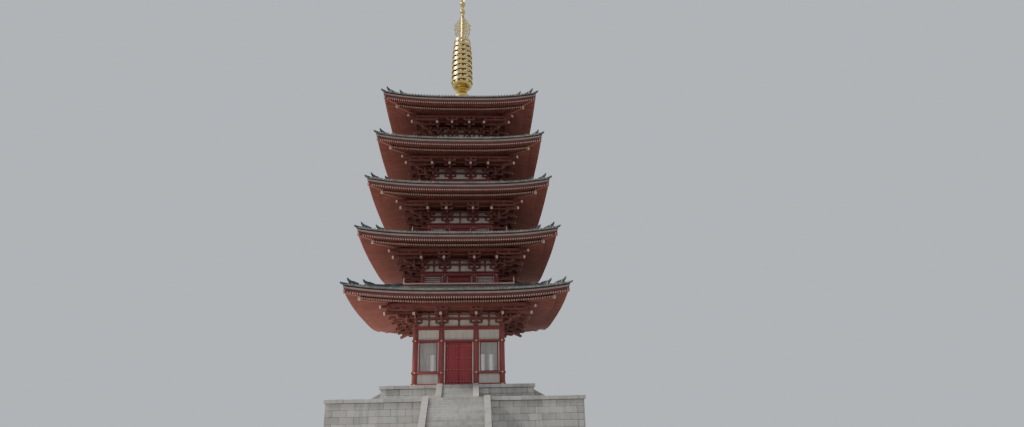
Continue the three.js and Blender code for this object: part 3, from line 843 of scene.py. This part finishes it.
def door_leaf(left, right, low, high, face, ground):
    """One leaf of a double door: boards between stiles and rails, with bosses on the rails."""
    shapes = [block((left, -face, low), (right, -face + 0.09, high), 0.01)]
    boards = max(2, round((right - left) / 0.28))
    for i in range(1, boards):
        x = left + (right - left) * i / boards
        shapes.append(block((x - 0.008, -face - 0.012, low), (x + 0.008, -face, high)))
    stile = 0.09 if ground else 0.06
    for a, b in ((left, left + stile), (right - stile, right)):
        shapes.append(block((a, -face - 0.035, low), (b, -face, high), 0.008))
    boss, count = nail_cover(0.04 if ground else 0.028), 4 if ground else 3
    front = -face - 0.045
    for share in (0.08, 0.36, 0.64, 0.92) if ground else (0.12, 0.5, 0.88):
        z = low + (high - low) * share
        corners = (left + 0.004, front, z - stile / 2), (right - 0.004, -face, z + stile / 2)
        shapes.append(block(*corners, 0.008))
        for i in range(count):
            shapes.append(boss.moved(left + (right - left) * (i + 0.5) / count, front, z))
    return shapes


def make_doors(storey):
    number, body = storey.number, storey.body
    finishes = ["door_paint", "gilt", "timber_paint"]
    piece = Piece(f"double_doors_{number}", "vermilion", finishes, [f"doors_{number}"])
    half = storey.bay - storey.column - JAMB
    low, high = storey.sill, storey.door_head
    front, back, lintel = -body - 0.06, -body + 0.2, high - 0.06
    leaf = (low + 0.02, high - 0.05, body - 0.1, number == 1)
    shapes = door_leaf(-half + 0.05, -0.008, *leaf) + door_leaf(0.008, half - 0.05, *leaf)
    for a, b in ((-half, -half + 0.06), (half - 0.06, half)):
        shapes.append(block((a, front, low), (b, back, lintel), 0.01, 2))
    shapes.append(block((-half, front, lintel), (half, back, high), 0.01, 2))
    piece.add_round(shapes)
    sill = (storey.floor + 0.001, storey.sill - 0.002)
    piece.add(square_ring(body + 0.26, body - WALL_INNER, *sill, 2, 0.015), PLAIN)
    piece.make()


def make_window_bars(storey):
    number, body = storey.number, storey.body
    piece = Piece(f"window_bars_{number}", "vermilion", ["lattice_paint", "timber_paint"])
    left, right = storey.bay + storey.column + JAMB, body - storey.column - JAMB
    low, high = storey.window_sill, storey.door_head
    front, back = -body - 0.09, -body + 0.1
    trim, pitch = (0.08, 0.11) if number == 1 else (0.05, 0.085)
    count = round((right - left - 2 * trim) / pitch)
    w = WINDOW_BAR_HALF
    shapes = []
    for side in (-1, 1):
        a, b = sorted((side * left, side * right))
        for x in (a, b - trim):
            shapes.append(block((x, front, low), (x + trim, back, high), 0.01, 1))
        for z in (low, high - trim):
            shapes.append(block((a + trim, front, z), (b - trim, back, z + trim), 0.01, 1))
        for i in range(count):
            x = a + trim + (b - a - 2 * trim) * (i + 0.5) / count
            outline = [(x - w, 0), (x, -w), (x + w, 0), (x, w)]
            rings = [[(u, -body + v, z) for u, v in outline] for z in (low + trim, high - trim)]
            shapes.append(skin(rings))
    piece.add_round(shapes)
    piece.make()


def deck_boards(storey, inner):
    """The boards of the front side, which run outwards and are mitred at the corners."""
    deck, floor = storey.deck, storey.floor
    count = round(2 * deck / 0.25)
    width, joint = 2 * deck / count, 0.006
    shapes = []
    for i in range(count):
        a, b = -deck + i * width + joint, -deck + (i + 1) * width - joint
        plan = [(a, -deck), (b, -deck)] + [(x, -max(inner, abs(x) + joint)) for x in (b, a)]
        board = skin([[(x, y, z) for x, y in plan] for z in (floor - BOARD_THICKNESS, floor)])
        board.paint[0] = 2
        shapes.append(board)
    return shapes


def make_balcony(storey):
    number, deck, floor = storey.number, storey.deck, storey.floor
    finishes = ["deck_paint", "timber_paint", "cream_paint"]
    piece = Piece(f"balcony_deck_{number}", "vermilion", finishes, [f"floor_{number}"])
    inner = storey.body - 0.1
    piece.add_round(deck_boards(storey, inner))
    under, low = floor - BOARD_THICKNESS - 0.002, floor - FLOOR_THICKNESS + 0.002
    middle = inner - 0.01
    piece.add(block((-middle, -middle, under), (middle, middle, floor)), PLAIN)
    piece.add(square_ring(deck - 0.05, deck - 0.27, low, under, 1, 0.012), PLAIN)
    piece.add(square_ring(deck - 0.28, inner - 0.2, low + 0.04, under, 1), PLAIN)
    piece.make()


def make_balustrade(storey):
    number = storey.number
    finishes = ["timber_paint", "cream_paint", "gilt"]
    piece = Piece(f"balustrade_{number}", "vermilion", finishes, [f"railing_{number}"])
    high = full(f"railing_{number}")[1]
    half, low = high.x - 0.05, storey.floor + 0.001
    shapes = []
    for z0, z1, wide in ((low, low + 0.09, 0.09), (low + 0.28, low + 0.34, 0.075)):
        shapes.append(block((-half, -half - wide / 2, z0), (half, -half + wide / 2, z1), 0.01))
    shapes.append(rod((-half, -half, low + 0.47), (half, -half, low + 0.47), 0.045, 12))
    for place in (-2 / 3, -1 / 3, 0, 1 / 3, 2 / 3):
        x = half * place
        w = 0.035 if abs(place) == 1 / 3 else 0.026
        shapes.append(block((x - w, -half - w, low + 0.08), (x + w, -half + w, low + 0.37), 0.006))
        shapes.append(bearing_block(0.085, 0.065).moved(x, -half, low + 0.365))
    piece.add_round(shapes)
    knob = [
        (0, 0.45), (0.05, 0.45), (0.05, 0.47), (0.035, 0.48), (0.035, 0.5), (0.048, 0.515), (0.05, 0.545),
        (0.042, 0.58), (0.022, 0.615), (0.008, 0.66), (0, high.z - low - 0.005),
    ]
    post = block((-0.05, -0.05, low), (0.05, 0.05, low + 0.46), 0.01, 1)
    corner = [post, lathe(knob, 12, 1).moved(z=low)]
    for z in (0.06, 0.31):
        corner.append(square_ring(0.055, 0.04, low + z - 0.02, low + z + 0.02, 2))
    piece.add_round([shape.moved(-half, -half) for shape in corner])
    piece.make()


def make_walls(storey):
    """The plaster ring keeps its own shape and takes a finish."""
    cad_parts[f"walls_{storey.number}"].material_slots[0].material = MATERIALS["plaster"]


def round_piece(name, node, profile, sides, extra):
    """A gilded piece turned about the axis, with the shapes fixed to it."""
    piece = Piece(name, "gilt", ["gilt"], [node])
    piece.add(lathe(profile, sides, closed=profile[0][0] > 0), PLAIN)
    for shape in extra:
        piece.add(shape, PLAIN)
    piece.make(METAL_SMOOTH_BELOW)


def make_basin():
    """The square dew basin under the finial, with three panels on each side."""
    low, high = full("dew_basin")
    half, rim = 0.88, high.x
    piece = Piece("dew_basin_box", "gilt", ["gilt"], ["dew_basin"])
    piece.add(square_ring(half, BORE, low.z, low.z + 0.06, 0, 0.015), PLAIN)
    piece.add(square_ring(half - 0.05, BORE, low.z + 0.06, 38.47, 0, 0.01), PLAIN)
    lip = [
        (half - 0.04, 38.43), (rim - 0.03, 38.48), (rim, 38.51), (rim, 38.63), (rim - 0.03, high.z),
        (BORE, high.z), (BORE, 38.43),
    ]
    piece.add(square_sweep(lip), PLAIN)
    foot = low.z + 0.08
    panels = [
        block((x - 0.22, -half + 0.02, foot), (x + 0.22, -half + 0.08, 38.42), 0.01) for x in (-0.54, 0, 0.54)
    ]
    piece.add_round(panels)
    piece.make(METAL_SMOOTH_BELOW)


def make_bowl():
    foot = full("dew_basin")[1].z + 0.001
    bowl = [
        (BORE, foot), (0.96, foot), (0.98, 38.7), (0.95, 38.74), (0.94, 38.85), (0.9, 39.05), (0.82, 39.25),
        (0.7, 39.42), (0.6, 39.52), (0.54, 39.58), (0.52, 39.64), (0.58, 39.68), (0.6, 39.73), (0.56, 39.78),
        (0.46, 39.84), (0.44, 39.9), (0.5, 39.96), (0.6, 40.01), (0.61, 40.05), (BORE, 40.059),
    ]
    band = lathe([(0.93, 38.82), (0.96, 38.84), (0.95, 38.9), (0.92, 38.91)], 48, closed=True)
    round_piece("inverted_bowl_shell", "inverted_bowl", bowl, 48, [band])


def lotus_petal(r0, r1, z0, z1, half):
    """One petal that rises outwards and turns its tip up, with a raised middle."""
    rings = []
    for share in np.linspace(0, 1, 7):
        r = r0 + (r1 - r0) * math.sin(share * math.pi / 2)
        z = z0 + (z1 - z0) * share**1.6
        tip = 1 if share < 0.85 else 0.55 if share < 1 else 0.12
        wide = half * (0.55 + 0.6 * math.sin(math.pi * min(share, 0.9) ** 0.9)) * tip
        bulge = 0.05 * math.sin(math.pi * share)
        rings.append([
            (-wide, -r + 0.02, z), (-wide * 0.5, -r - bulge * 0.8, z), (0, -r - bulge, z),
            (wide * 0.5, -r - bulge * 0.8, z), (wide, -r + 0.02, z), (0, -r + 0.03, z),
        ])
    return skin(rings)


def make_lotus():
    count = 12
    petals = []
    for r0, r1, z0, z1, lean in ((0.5, 1.18, 40.14, 40.82, 0.0), (0.45, 1.04, 40.2, 40.84, 0.5)):
        petal = lotus_petal(r0, r1, z0, z1, math.pi * r1 / count * 1.02)
        petals += [petal.turned(2 * math.pi * (i + lean) / count) for i in range(count)]
    core = [
        (BORE, 40.061), (0.62, 40.061), (0.64, 40.1), (0.56, 40.15), (0.6, 40.25), (0.8, 40.45),
        (0.84, 40.56), (0.5, 40.6), (0.34, 40.64), (0.3, 40.8), (0.34, 40.83), (0.3, 40.859), (BORE, 40.859),
    ]
    round_piece("lotus_crown", "lotus", core, 36, petals)


def make_rings():
    """The nine rings, each with a hub, eight spokes and eight small bells that hang from it."""
    piece = Piece("nine_rings_set", "gilt", ["gilt", "shade_painted_gilt"], ["nine_rings"])
    low, high = full("nine_rings")
    piece.add(lathe([(BORE, low.z), (0.22, low.z), (0.22, high.z), (BORE, high.z)], 28, 1, closed=True), PLAIN)
    bell = lathe([(0, 0), (0.055, 0), (0.045, 0.02), (0.038, 0.08), (0.025, 0.11), (0, 0.12)], 8)
    section = (
        (-0.09, 0.005), (-0.01, 0), (0, 0.012), (0, 0.05), (-0.014, 0.06), (-0.03, 0.31), (-0.022, 0.32),
        (-0.026, 0.36), (-0.04, 0.375), (-0.12, 0.37),
    )
    # The last two stretches of the section close the hoop on its inside, which takes a darker gilt as painted
    # shade.
    inside = (0, len(section) - 2, len(section) - 1)
    for number, radius in enumerate(RING_RADII):
        z = RING_LOW + RING_PITCH * number
        hoop = lathe([(radius + out, z + up) for out, up in section], RING_SIDES, closed=True)
        hoop.paint = [int(i // RING_SIDES in inside) for i in range(len(hoop.faces))]
        piece.add(hoop, PLAIN)
        # The hub and the spokes also take the darker gilt, as painted shade.
        hub = ((0.21, 0.02), (0.28, 0.04), (0.31, 0.1), (0.31, 0.16), (0.28, 0.22), (0.21, 0.24))
        piece.add(lathe([(out, z + up) for out, up in hub], 24, 1, closed=True), PLAIN)
        spoke = block((-0.03, -radius + 0.08, z + 0.08), (0.03, -0.26, z + 0.18), 0.01, 1)
        place = -radius + 0.07
        hanger = [bell.moved(0, place, z - 0.14), rod((0, place, z - 0.04), (0, place, z + 0.03), 0.008, 5)]
        for angle in sorted(QUARTERS + DIAGONALS):
            piece.add(spoke.turned(angle), PLAIN)
            piece.add_round(hanger, [angle + math.pi / 8], PLAIN)
    piece.make(METAL_SMOOTH_BELOW)


def tongue(path, widths, thickness=0.04):
    """A flat curved tongue along a path of (out, z) points."""
    path = np.array(path, float)
    along = np.gradient(path, axis=0)
    along /= np.linalg.norm(along, axis=1)[:, None]
    across = np.stack([along[:, 1], -along[:, 0]], axis=1) * np.array(widths)[:, None] / 2
    return side_plate(np.concatenate([path + across, (path - across)[::-1]]).tolist(), thickness)


def make_flame():
    """Four open wings of flame tongues round a sleeve."""
    low, high = full("water_flame")
    extra = []
    for z in (low.z + 0.05, (low.z + high.z) / 2, high.z - 0.1):
        collar = [(0.18, z - 0.05), (0.23, z - 0.02), (0.23, z + 0.02), (0.18, z + 0.05)]
        extra.append(lathe(collar, 24, closed=True))
    wide = [0.12, 0.15, 0.15, 0.13, 0.1, 0.03]
    curl = [0.07, 0.1, 0.08, 0.02]
    inward = ((0, 0), (-0.09, 0.1), (-0.1, 0.24), (-0.03, 0.36))
    hook = ((0, 0), (0.1, 0.02), (0.13, 0.14), (0.07, 0.26))
    paths = [
        [(0.17, 0.1), (0.5, 0.4), (0.76, 0.95), (0.86, 1.6), (0.89, 2.2), (0.82, 2.75)],
        [(0.17, 0.5), (0.42, 0.85), (0.58, 1.35), (0.68, 1.95), (0.7, 2.55), (0.58, 3.1)],
        [(0.17, 1.05), (0.34, 1.35), (0.43, 1.85), (0.48, 2.4), (0.48, 2.95), (0.36, 3.4)],
        [(0.17, 1.65), (0.26, 1.95), (0.3, 2.45), (0.31, 2.85), (0.28, 3.2), (0.2, 3.5)],
    ]
    tongues = []
    for number, path in enumerate(paths):
        tongues.append(tongue(path, wide))
        for out, z in path[1:-1]:
            tongues.append(tongue([(out + u, z + w) for u, w in inward], curl, 0.03))
            if number == 0:
                tongues.append(tongue([(out + u, z + w) for u, w in hook], curl, 0.034))
    extra += [shape.moved(z=low.z).turned(angle) for angle in QUARTERS for shape in tongues]
    sleeve = [(BORE, low.z), (0.19, low.z), (0.19, high.z), (BORE, high.z)]
    round_piece("water_flame_wings", "water_flame", sleeve, 24, extra)


def make_mast():
    """The mast with its two jewels, the upper one in four small flames."""
    mast = [(0, 38.21), (0.13, 38.21), (0.13, 50.5), (0.2, 50.53), (0.23, 50.6), (0.16, 50.68), (0.15, 50.76)]
    mast += [(0.345 * math.cos(a), 51.24 + 0.42 * math.sin(a)) for a in np.linspace(-1.1, 1.15, 13)]
    mast += [(0.1, 51.7), (0.1, 51.9), (0.19, 51.96), (0.15, 52.03)]
    mast += [(0.355 * math.cos(a), 52.43 + 0.4 * math.sin(a)) for a in np.linspace(-1.1, 1.0, 12)]
    mast += [(0.12, 52.86), (0.06, 53.02), (0.025, 53.18), (0, 53.3)]
    outline = [(0.2, 52.6), (0.33, 52.5), (0.36, 52.66), (0.24, 52.92), (0.1, 53.12), (0.08, 52.98), (0.17, 52.8)]
    flames = [side_plate(outline, 0.03).turned(angle) for angle in DIAGONALS]
    round_piece("mast_and_jewel_set", "mast_and_jewels", mast, 28, flames)


def masonry_wall(piece, half, low, high, course, length):
    """Courses of dressed blocks round a square base, with broken joints."""
    courses = max(1, round((high - low) / course))
    tall = (high - low) / courses
    count = round(2 * half / length)
    step = 2 * half / count
    gap = MASONRY_JOINT / 2
    for level in range(courses):
        z0 = low + level * tall
        shift = step / 2 if level % 2 else 0
        joints = [-half + shift + step * i for i in range(0 if shift else 1, count)]
        edges = [-half] + [x for x in joints if x < half - 0.05] + [half - MASONRY_DEPTH]
        shapes = []
        for a, b in zip(edges, edges[1:]):
            front = -half - 0.012 * piece.random.random()
            corners = (a + gap, front, z0 + gap), (b - gap, -half + MASONRY_DEPTH, z0 + tall - gap)
            shapes.append(block(*corners, 0.02))
        piece.add_round(shapes)


def paving(piece, outer, inner, top, slab):
    """Square slabs on a level ring."""
    count = round(2 * outer / slab)
    size = 2 * outer / count
    joint = PAVING_JOINT
    for i in range(count):
        for j in range(count):
            x, y = -outer + i * size, -outer + j * size
            if max(abs(x), abs(x + size), abs(y), abs(y + size)) >= inner:
                corners = (x + joint, y + joint, top - 0.06), (x + size - joint, y + size - joint, top)
                piece.add(block(*corners, 0.008))


def coping(piece, half, low, high, length):
    """Long stones on the edge of a terrace."""
    run = 2 * half - COPING_WIDTH
    count = round(run / length)
    step = run / count
    shapes = []
    for i in range(count):
        a = -half + i * step
        shapes.append(block((a + 0.004, -half, low), (a + step - 0.004, -half + COPING_WIDTH, high), 0.02))
    piece.add_round(shapes)


def make_terrace(node, course, length, coping_length, inner, slab):
    """A square stone terrace: a core, dressed courses, a coping and paving round what it carries."""
    low, high = full(node)
    half = high.x - TERRACE_INSET
    core = half - 0.05
    piece = Piece(f"{node}_masonry", "stone", ["stone"], [node])
    piece.add(block((-core, -core, low.z), (core, core, high.z - 0.06)), 0.4)
    masonry_wall(piece, half, low.z, high.z - 0.31, course, length)
    coping(piece, high.x, high.z - 0.3, high.z - 0.001, coping_length)
    paving(piece, half - 0.45, inner, high.z, slab)
    piece.make()


def stair_stones(start, low, high, risers, width):
    """Steps of single long stones between two sloping cheeks, on the front side."""
    rise = (high - low) / risers
    run = TREAD * (risers - 1)
    back, toe = start + 0.001, start + run
    shapes = []
    for step in range(1, risers):
        front = toe - (step - 1) * TREAD
        z = low + rise * step
        corners = (-width / 2, -front, z - rise + 0.002), (width / 2, -max(start, front - TREAD * 2), z)
        shapes.append(block(*corners, 0.012))
    shapes.append(side_plate([(back, low), (toe - 0.05, low), (back, high - rise - 0.05)], width - 0.02))
    top = high + rise * 0.5
    cheek = [(back, low), (toe + 0.28, low), (toe + 0.28, low + rise - 0.05), (back, top - 0.05)]
    cap = [(back, top - 0.16), (toe + 0.3, low + rise - 0.16), (toe + 0.3, low + rise), (back, top)]
    for s in (-1, 1):
        middle = s * (width + CHEEK) / 2
        shapes.append(side_plate(cheek, CHEEK - 0.06).moved(middle))
        shapes.append(side_plate(cap, CHEEK).moved(middle))
    return shapes


def make_stair(name, node, angle, *sizes):
    piece = Piece(name, "stone", ["stone"], [node])
    piece.add_round(stair_stones(*sizes), [angle])
    piece.make()


def make_base():
    make_terrace("podium", 0.52, 1.15, 1.6, 6.0, 1.2)
    make_terrace("platform", 0.5, 1.1, 1.35, 3.6, 0.75)
    podium, platform = full("podium")[1], full("platform")[1]
    for angle, side in zip(QUARTERS, ("front", "right", "back", "left")):
        make_stair(f"{side}_step_stones", f"{side}_steps", angle, platform.x, podium.z, platform.z, 7, 2.6)
    make_stair("podium_stair_stones", "podium_stair", 0, podium.x, 0, podium.z, 23, 4.4)


# Materials.
class Tree:
    """Short calls for adding and joining nodes."""

    def __init__(self, tree):
        self.tree = tree

    def feed(self, socket, value):
        """Joins a socket to another one, or gives it a value or a colour."""
        if isinstance(value, bpy.types.NodeSocket):
            self.tree.links.new(value, socket)
        else:
            socket.default_value = (*value, 1) if socket.type == "RGBA" else value

    def node(self, kind, inputs, **settings):
        node = self.tree.nodes.new(kind)
        for key, value in settings.items():
            setattr(node, key, value)
        for key, value in inputs.items():
            self.feed(node.inputs[key], value)
        return node

    def mix(self, share, a, b):
        return self.node("ShaderNodeMix", {0: share, 6: a, 7: b}, data_type="RGBA").outputs[2]

    def times(self, a, b):
        return self.node("ShaderNodeMath", {0: a, 1: b}, operation="MULTIPLY").outputs[0]

    def plus(self, a, b):
        return self.node("ShaderNodeMath", {0: a, 1: b}, operation="ADD").outputs[0]

    def between(self, value, low, high):
        """A mask that is none below one level of a value and full above another."""
        inputs = {"Value": value, "From Min": low, "From Max": high}
        return self.node("ShaderNodeMapRange", inputs).outputs["Result"]

    def noise(self, place, scale, detail, roughness):
        inputs = {"Vector": place, "Scale": scale, "Detail": detail, "Roughness": roughness}
        return self.node("ShaderNodeTexNoise", inputs).outputs["Fac"]

    def place(self):
        return self.node("ShaderNodeTexCoord", {}).outputs["Object"]

    def use(self, name, **values):
        """One of the groups below, with its values set."""
        return self.node("ShaderNodeGroup", values, node_tree=GROUPS[name]).outputs


def rain_marks(t, given):
    """Streaks that run down a surface and broad weathered patches."""
    place = t.place()
    long = t.node("ShaderNodeMapping", {"Vector": place, "Scale": (6, 6, 0.5)}).outputs[0]
    streak = t.noise(long, given["Scale"], 5.0, 0.6)
    broad = t.noise(place, given["Scale"], 4.0, 0.55)
    return {
        "Streaks": t.times(t.between(streak, 0.45, 0.75), given["Amount"]),
        "Patches": t.times(t.between(broad, 0.35, 0.7), given["Amount"]),
    }


def fine_grain(t, given):
    """Small relief and the fleck that goes with it, at a named size."""
    noise = t.noise(t.place(), given["Scale"], 6.0, given["Roughness"])
    return {"Height": noise, "Fleck": t.between(noise, 0.5, 0.68)}


def piece_tone(t, given):
    """The tone of each tile, board or stone, as it is and as a factor round one."""
    tone = t.node("ShaderNodeAttribute", {}, attribute_name="tone").outputs["Fac"]
    return {"Factor": t.plus(t.times(t.plus(tone, -0.5), given["Spread"]), 1.0), "Tone": tone}


def group(build, **inputs):
    """A shader node group with named value inputs, and with what its function gives as outputs."""
    tree = bpy.data.node_groups.new(build.__name__, "ShaderNodeTree")
    for label, default in inputs.items():
        socket = tree.interface.new_socket(label, in_out="INPUT", socket_type="NodeSocketFloat")
        socket.default_value = default
    t = Tree(tree)
    results = build(t, tree.nodes.new("NodeGroupInput").outputs)
    for label in results:
        tree.interface.new_socket(label, in_out="OUTPUT", socket_type="NodeSocketFloat")
    t.node("NodeGroupOutput", results)
    return tree


GROUPS = {
    "rain_marks": group(rain_marks, Scale=1.0, Amount=0.5),
    "fine_grain": group(fine_grain, Scale=60.0, Roughness=0.6),
    "piece_tone": group(piece_tone, Spread=0.3),
}


def material(name):
    mat = bpy.data.materials.new(name)
    mat.use_nodes = True
    return mat, Tree(mat.node_tree)


def tinted(t, base, spread):
    """A colour made lighter and darker by the tone of each piece."""
    tone = t.use("piece_tone", Spread=spread)
    hsv = t.node("ShaderNodeHueSaturation", {"Color": base, "Value": tone["Factor"]})
    return hsv.outputs["Color"], tone["Tone"]


def finished(made, colour, roughness, height, strength, distance, metallic=0.0):
    """Joins a colour, a roughness and a relief to the material's shader."""
    mat, t = made
    bump = t.node("ShaderNodeBump", {"Height": height, "Strength": strength, "Distance": distance})
    inputs = {
        "Base Color": colour, "Roughness": roughness, "Metallic": metallic, "Normal": bump.outputs["Normal"],
    }
    for label, value in inputs.items():
        t.feed(t.tree.nodes["Principled BSDF"].inputs[label], value)
    return mat


def painted_timber(name, fresh, faded, grime, rough=0.5, spread=0.18):
    """Lacquer paint on timber: faded in patches, streaked by rain, with the grain just showing."""
    mat, t = material(name)
    marks = t.use("rain_marks", Scale=1.6, Amount=0.75)
    grain = t.use("fine_grain", Scale=90.0, Roughness=0.65)
    colour = t.mix(marks["Patches"], fresh, faded)
    colour = t.mix(t.times(marks["Streaks"], 0.5), colour, grime)
    colour, _ = tinted(t, colour, spread)
    colour = t.mix(t.times(grain["Fleck"], 0.12), colour, grime)
    roughness = t.plus(t.times(marks["Patches"], 0.22), rough)
    return finished((mat, t), colour, roughness, grain["Height"], 0.25, 0.004)


def plaster():
    mat, t = material("plaster")
    marks = t.use("rain_marks", Scale=1.2, Amount=0.6)
    grain = t.use("fine_grain", Scale=35.0, Roughness=0.55)
    colour = t.mix(marks["Patches"], (0.66, 0.61, 0.54), (0.56, 0.5, 0.42))
    colour = t.mix(marks["Streaks"], colour, (0.42, 0.37, 0.31))
    return finished((mat, t), colour, 0.88, grain["Height"], 0.3, 0.006)


def roof_tile(name, base, light, moss):
    mat, t = material(name)
    marks = t.use("rain_marks", Scale=1.4, Amount=0.8)
    grain = t.use("fine_grain", Scale=45.0, Roughness=0.6)
    colour = t.mix(marks["Patches"], base, light)
    colour = t.mix(t.times(grain["Fleck"], 0.35), colour, moss)
    colour, tone = tinted(t, colour, 0.55)
    roughness = t.plus(t.times(tone, 0.22), 0.36)
    return finished((mat, t), colour, roughness, grain["Height"], 0.3, 0.004, 0.25)


def gilt(name, light, deep, rough):
    mat, t = material(name)
    marks = t.use("rain_marks", Scale=2.4, Amount=0.8)
    grain = t.use("fine_grain", Scale=30.0, Roughness=0.5)
    colour = t.mix(marks["Patches"], light, deep)
    colour = t.mix(t.times(marks["Streaks"], 0.6), colour, tuple(0.5 * part for part in deep))
    roughness = t.plus(t.times(grain["Height"], 0.3), rough)
    return finished((mat, t), colour, roughness, grain["Height"], 0.12, 0.006, 1.0)


def stone():
    mat, t = material("stone")
    marks = t.use("rain_marks", Scale=0.9, Amount=0.8)
    grain = t.use("fine_grain", Scale=110.0, Roughness=0.75)
    coarse = t.use("fine_grain", Scale=14.0, Roughness=0.6)
    colour = t.mix(marks["Patches"], (0.5, 0.48, 0.44), (0.4, 0.385, 0.35))
    colour, _ = tinted(t, colour, 0.35)
    colour = t.mix(t.times(grain["Fleck"], 0.5), colour, (0.2, 0.19, 0.18))
    colour = t.mix(t.times(marks["Streaks"], 0.6), colour, (0.17, 0.165, 0.14))
    return finished((mat, t), colour, 0.82, coarse["Height"], 0.45, 0.012)


# Each paint's fresh, faded and grimy colour, and where they differ its roughness and spread of tone.
PAINTS = {
    "timber_paint": ((0.28, 0.058, 0.062), (0.33, 0.092, 0.085), (0.1, 0.04, 0.038)),
    "bracket_paint": ((0.245, 0.08, 0.065), (0.285, 0.112, 0.09), (0.095, 0.052, 0.045)),
    "soffit_paint": ((0.35, 0.113, 0.088), (0.39, 0.152, 0.122), (0.135, 0.06, 0.052)),
    "batten_wood": ((0.28, 0.19, 0.17), (0.35, 0.26, 0.23), (0.14, 0.1, 0.085), 0.7),
    # The fascia's colours are darkened as painted shade, for the eave's shaded front.
    "fascia_paint": ((0.1, 0.02, 0.019), (0.14, 0.032, 0.028), (0.05, 0.018, 0.018)),
    "door_paint": ((0.34, 0.036, 0.052), (0.38, 0.065, 0.075), (0.11, 0.03, 0.032)),
    "deck_paint": ((0.24, 0.04, 0.025), (0.3, 0.09, 0.06), (0.12, 0.06, 0.045), 0.6, 0.35),
    "lattice_paint": ((0.68, 0.66, 0.62), (0.72, 0.7, 0.67), (0.36, 0.34, 0.31)),
    "cream_paint": ((0.62, 0.52, 0.43), (0.54, 0.44, 0.36), (0.3, 0.22, 0.18), 0.55, 0.12),
}
MATERIALS = {name: painted_timber(name, *paint) for name, paint in PAINTS.items()}
MATERIALS.update({
    "plaster": plaster(),
    "roof_tile": roof_tile("roof_tile", (0.21, 0.205, 0.18), (0.32, 0.31, 0.27), (0.11, 0.115, 0.09)),
    "ridge_tile": roof_tile("ridge_tile", (0.1, 0.12, 0.13), (0.16, 0.18, 0.19), (0.06, 0.068, 0.066)),
    "gilt": gilt("gilt", (0.74, 0.56, 0.2), (0.6, 0.43, 0.14), 0.14),
    # A darker gilt as painted shade, for the insides of the rings, their hubs and spokes.
    "shade_painted_gilt": gilt("shade_painted_gilt", (0.42, 0.28, 0.12), (0.28, 0.18, 0.08), 0.4),
    "stone": stone(),
})


def make_camera():
    """The photograph's view: eye height, standing off the front and looking up."""
    data = bpy.data.cameras.new("camera")
    data.sensor_fit = "HORIZONTAL"
    data.sensor_width = SENSOR_WIDTH
    data.lens = SENSOR_WIDTH * LENS_PIXELS / PICTURE_WIDTH
    data.clip_end = 500
    camera = placed("camera", data)
    turn = Matrix.Rotation(-math.radians(TURN_RIGHT), 4, "Z")
    tilt = Matrix.Rotation(math.pi / 2 + math.radians(PITCH), 4, "X")
    roll = Matrix.Rotation(math.radians(ROLL), 4, "Z")
    camera.matrix_world = Matrix.Translation(Vector(EYE) * SCALE) @ turn @ tilt @ roll
    bpy.context.scene.camera = camera


def make_studio():
    world = bpy.data.worlds.new("studio")
    world.use_nodes = True
    sky = world.node_tree.nodes["Background"].inputs
    sky["Color"].default_value = (0.78, 0.84, 0.92, 1)
    sky["Strength"].default_value = 0.75
    bpy.context.scene.world = world

    sun = bpy.data.lights.new("key", "SUN")
    sun.energy = 3.2
    sun.angle = math.radians(8)
    sun.color = (1.0, 0.95, 0.87)
    towards = Vector((-0.86, -0.18, 0.72)).normalized()
    placed("key", sun).rotation_euler = towards.to_track_quat("Z", "Y").to_euler()

    panel = bpy.data.lights.new("low_fill", "AREA")
    panel.shape = "RECTANGLE"
    panel.size, panel.size_y = 8, 16
    panel.energy = 700
    panel.color = (1.0, 0.9, 0.8)
    fill = placed("low_fill", panel)
    fill.location = (-11, -3, 0.6)
    fill.rotation_euler = (math.pi, 0, 0)
    fill.visible_camera = False

    mesh = bpy.data.meshes.new("floor")
    reach = 120
    corners = [(-reach, -reach, 0), (reach, -reach, 0), (reach, reach, 0), (-reach, reach, 0)]
    mesh.from_pydata(corners, [], [(0, 1, 2, 3)])
    floor = placed("floor", mesh)
    pale = bpy.data.materials.new("pale_floor")
    pale.use_nodes = True
    surface = pale.node_tree.nodes["Principled BSDF"].inputs
    surface["Base Color"].default_value = (0.42, 0.41, 0.39, 1)
    surface["Roughness"].default_value = 0.9
    mesh.materials.append(pale)


make_camera()
make_base()
for storey in STOREYS:
    make_walls(storey)
    make_doors(storey)
    make_window_bars(storey)
    make_columns(storey)
    make_brackets(storey)
    make_upper_plaster(storey)
    make_eaves(storey)
    make_roof(storey)
    make_ridges(storey)
    if storey.number > 1:
        make_balcony(storey)
        make_balustrade(storey)
make_basin()
make_bowl()
make_lotus()
make_rings()
make_flame()
make_mast()
make_studio()
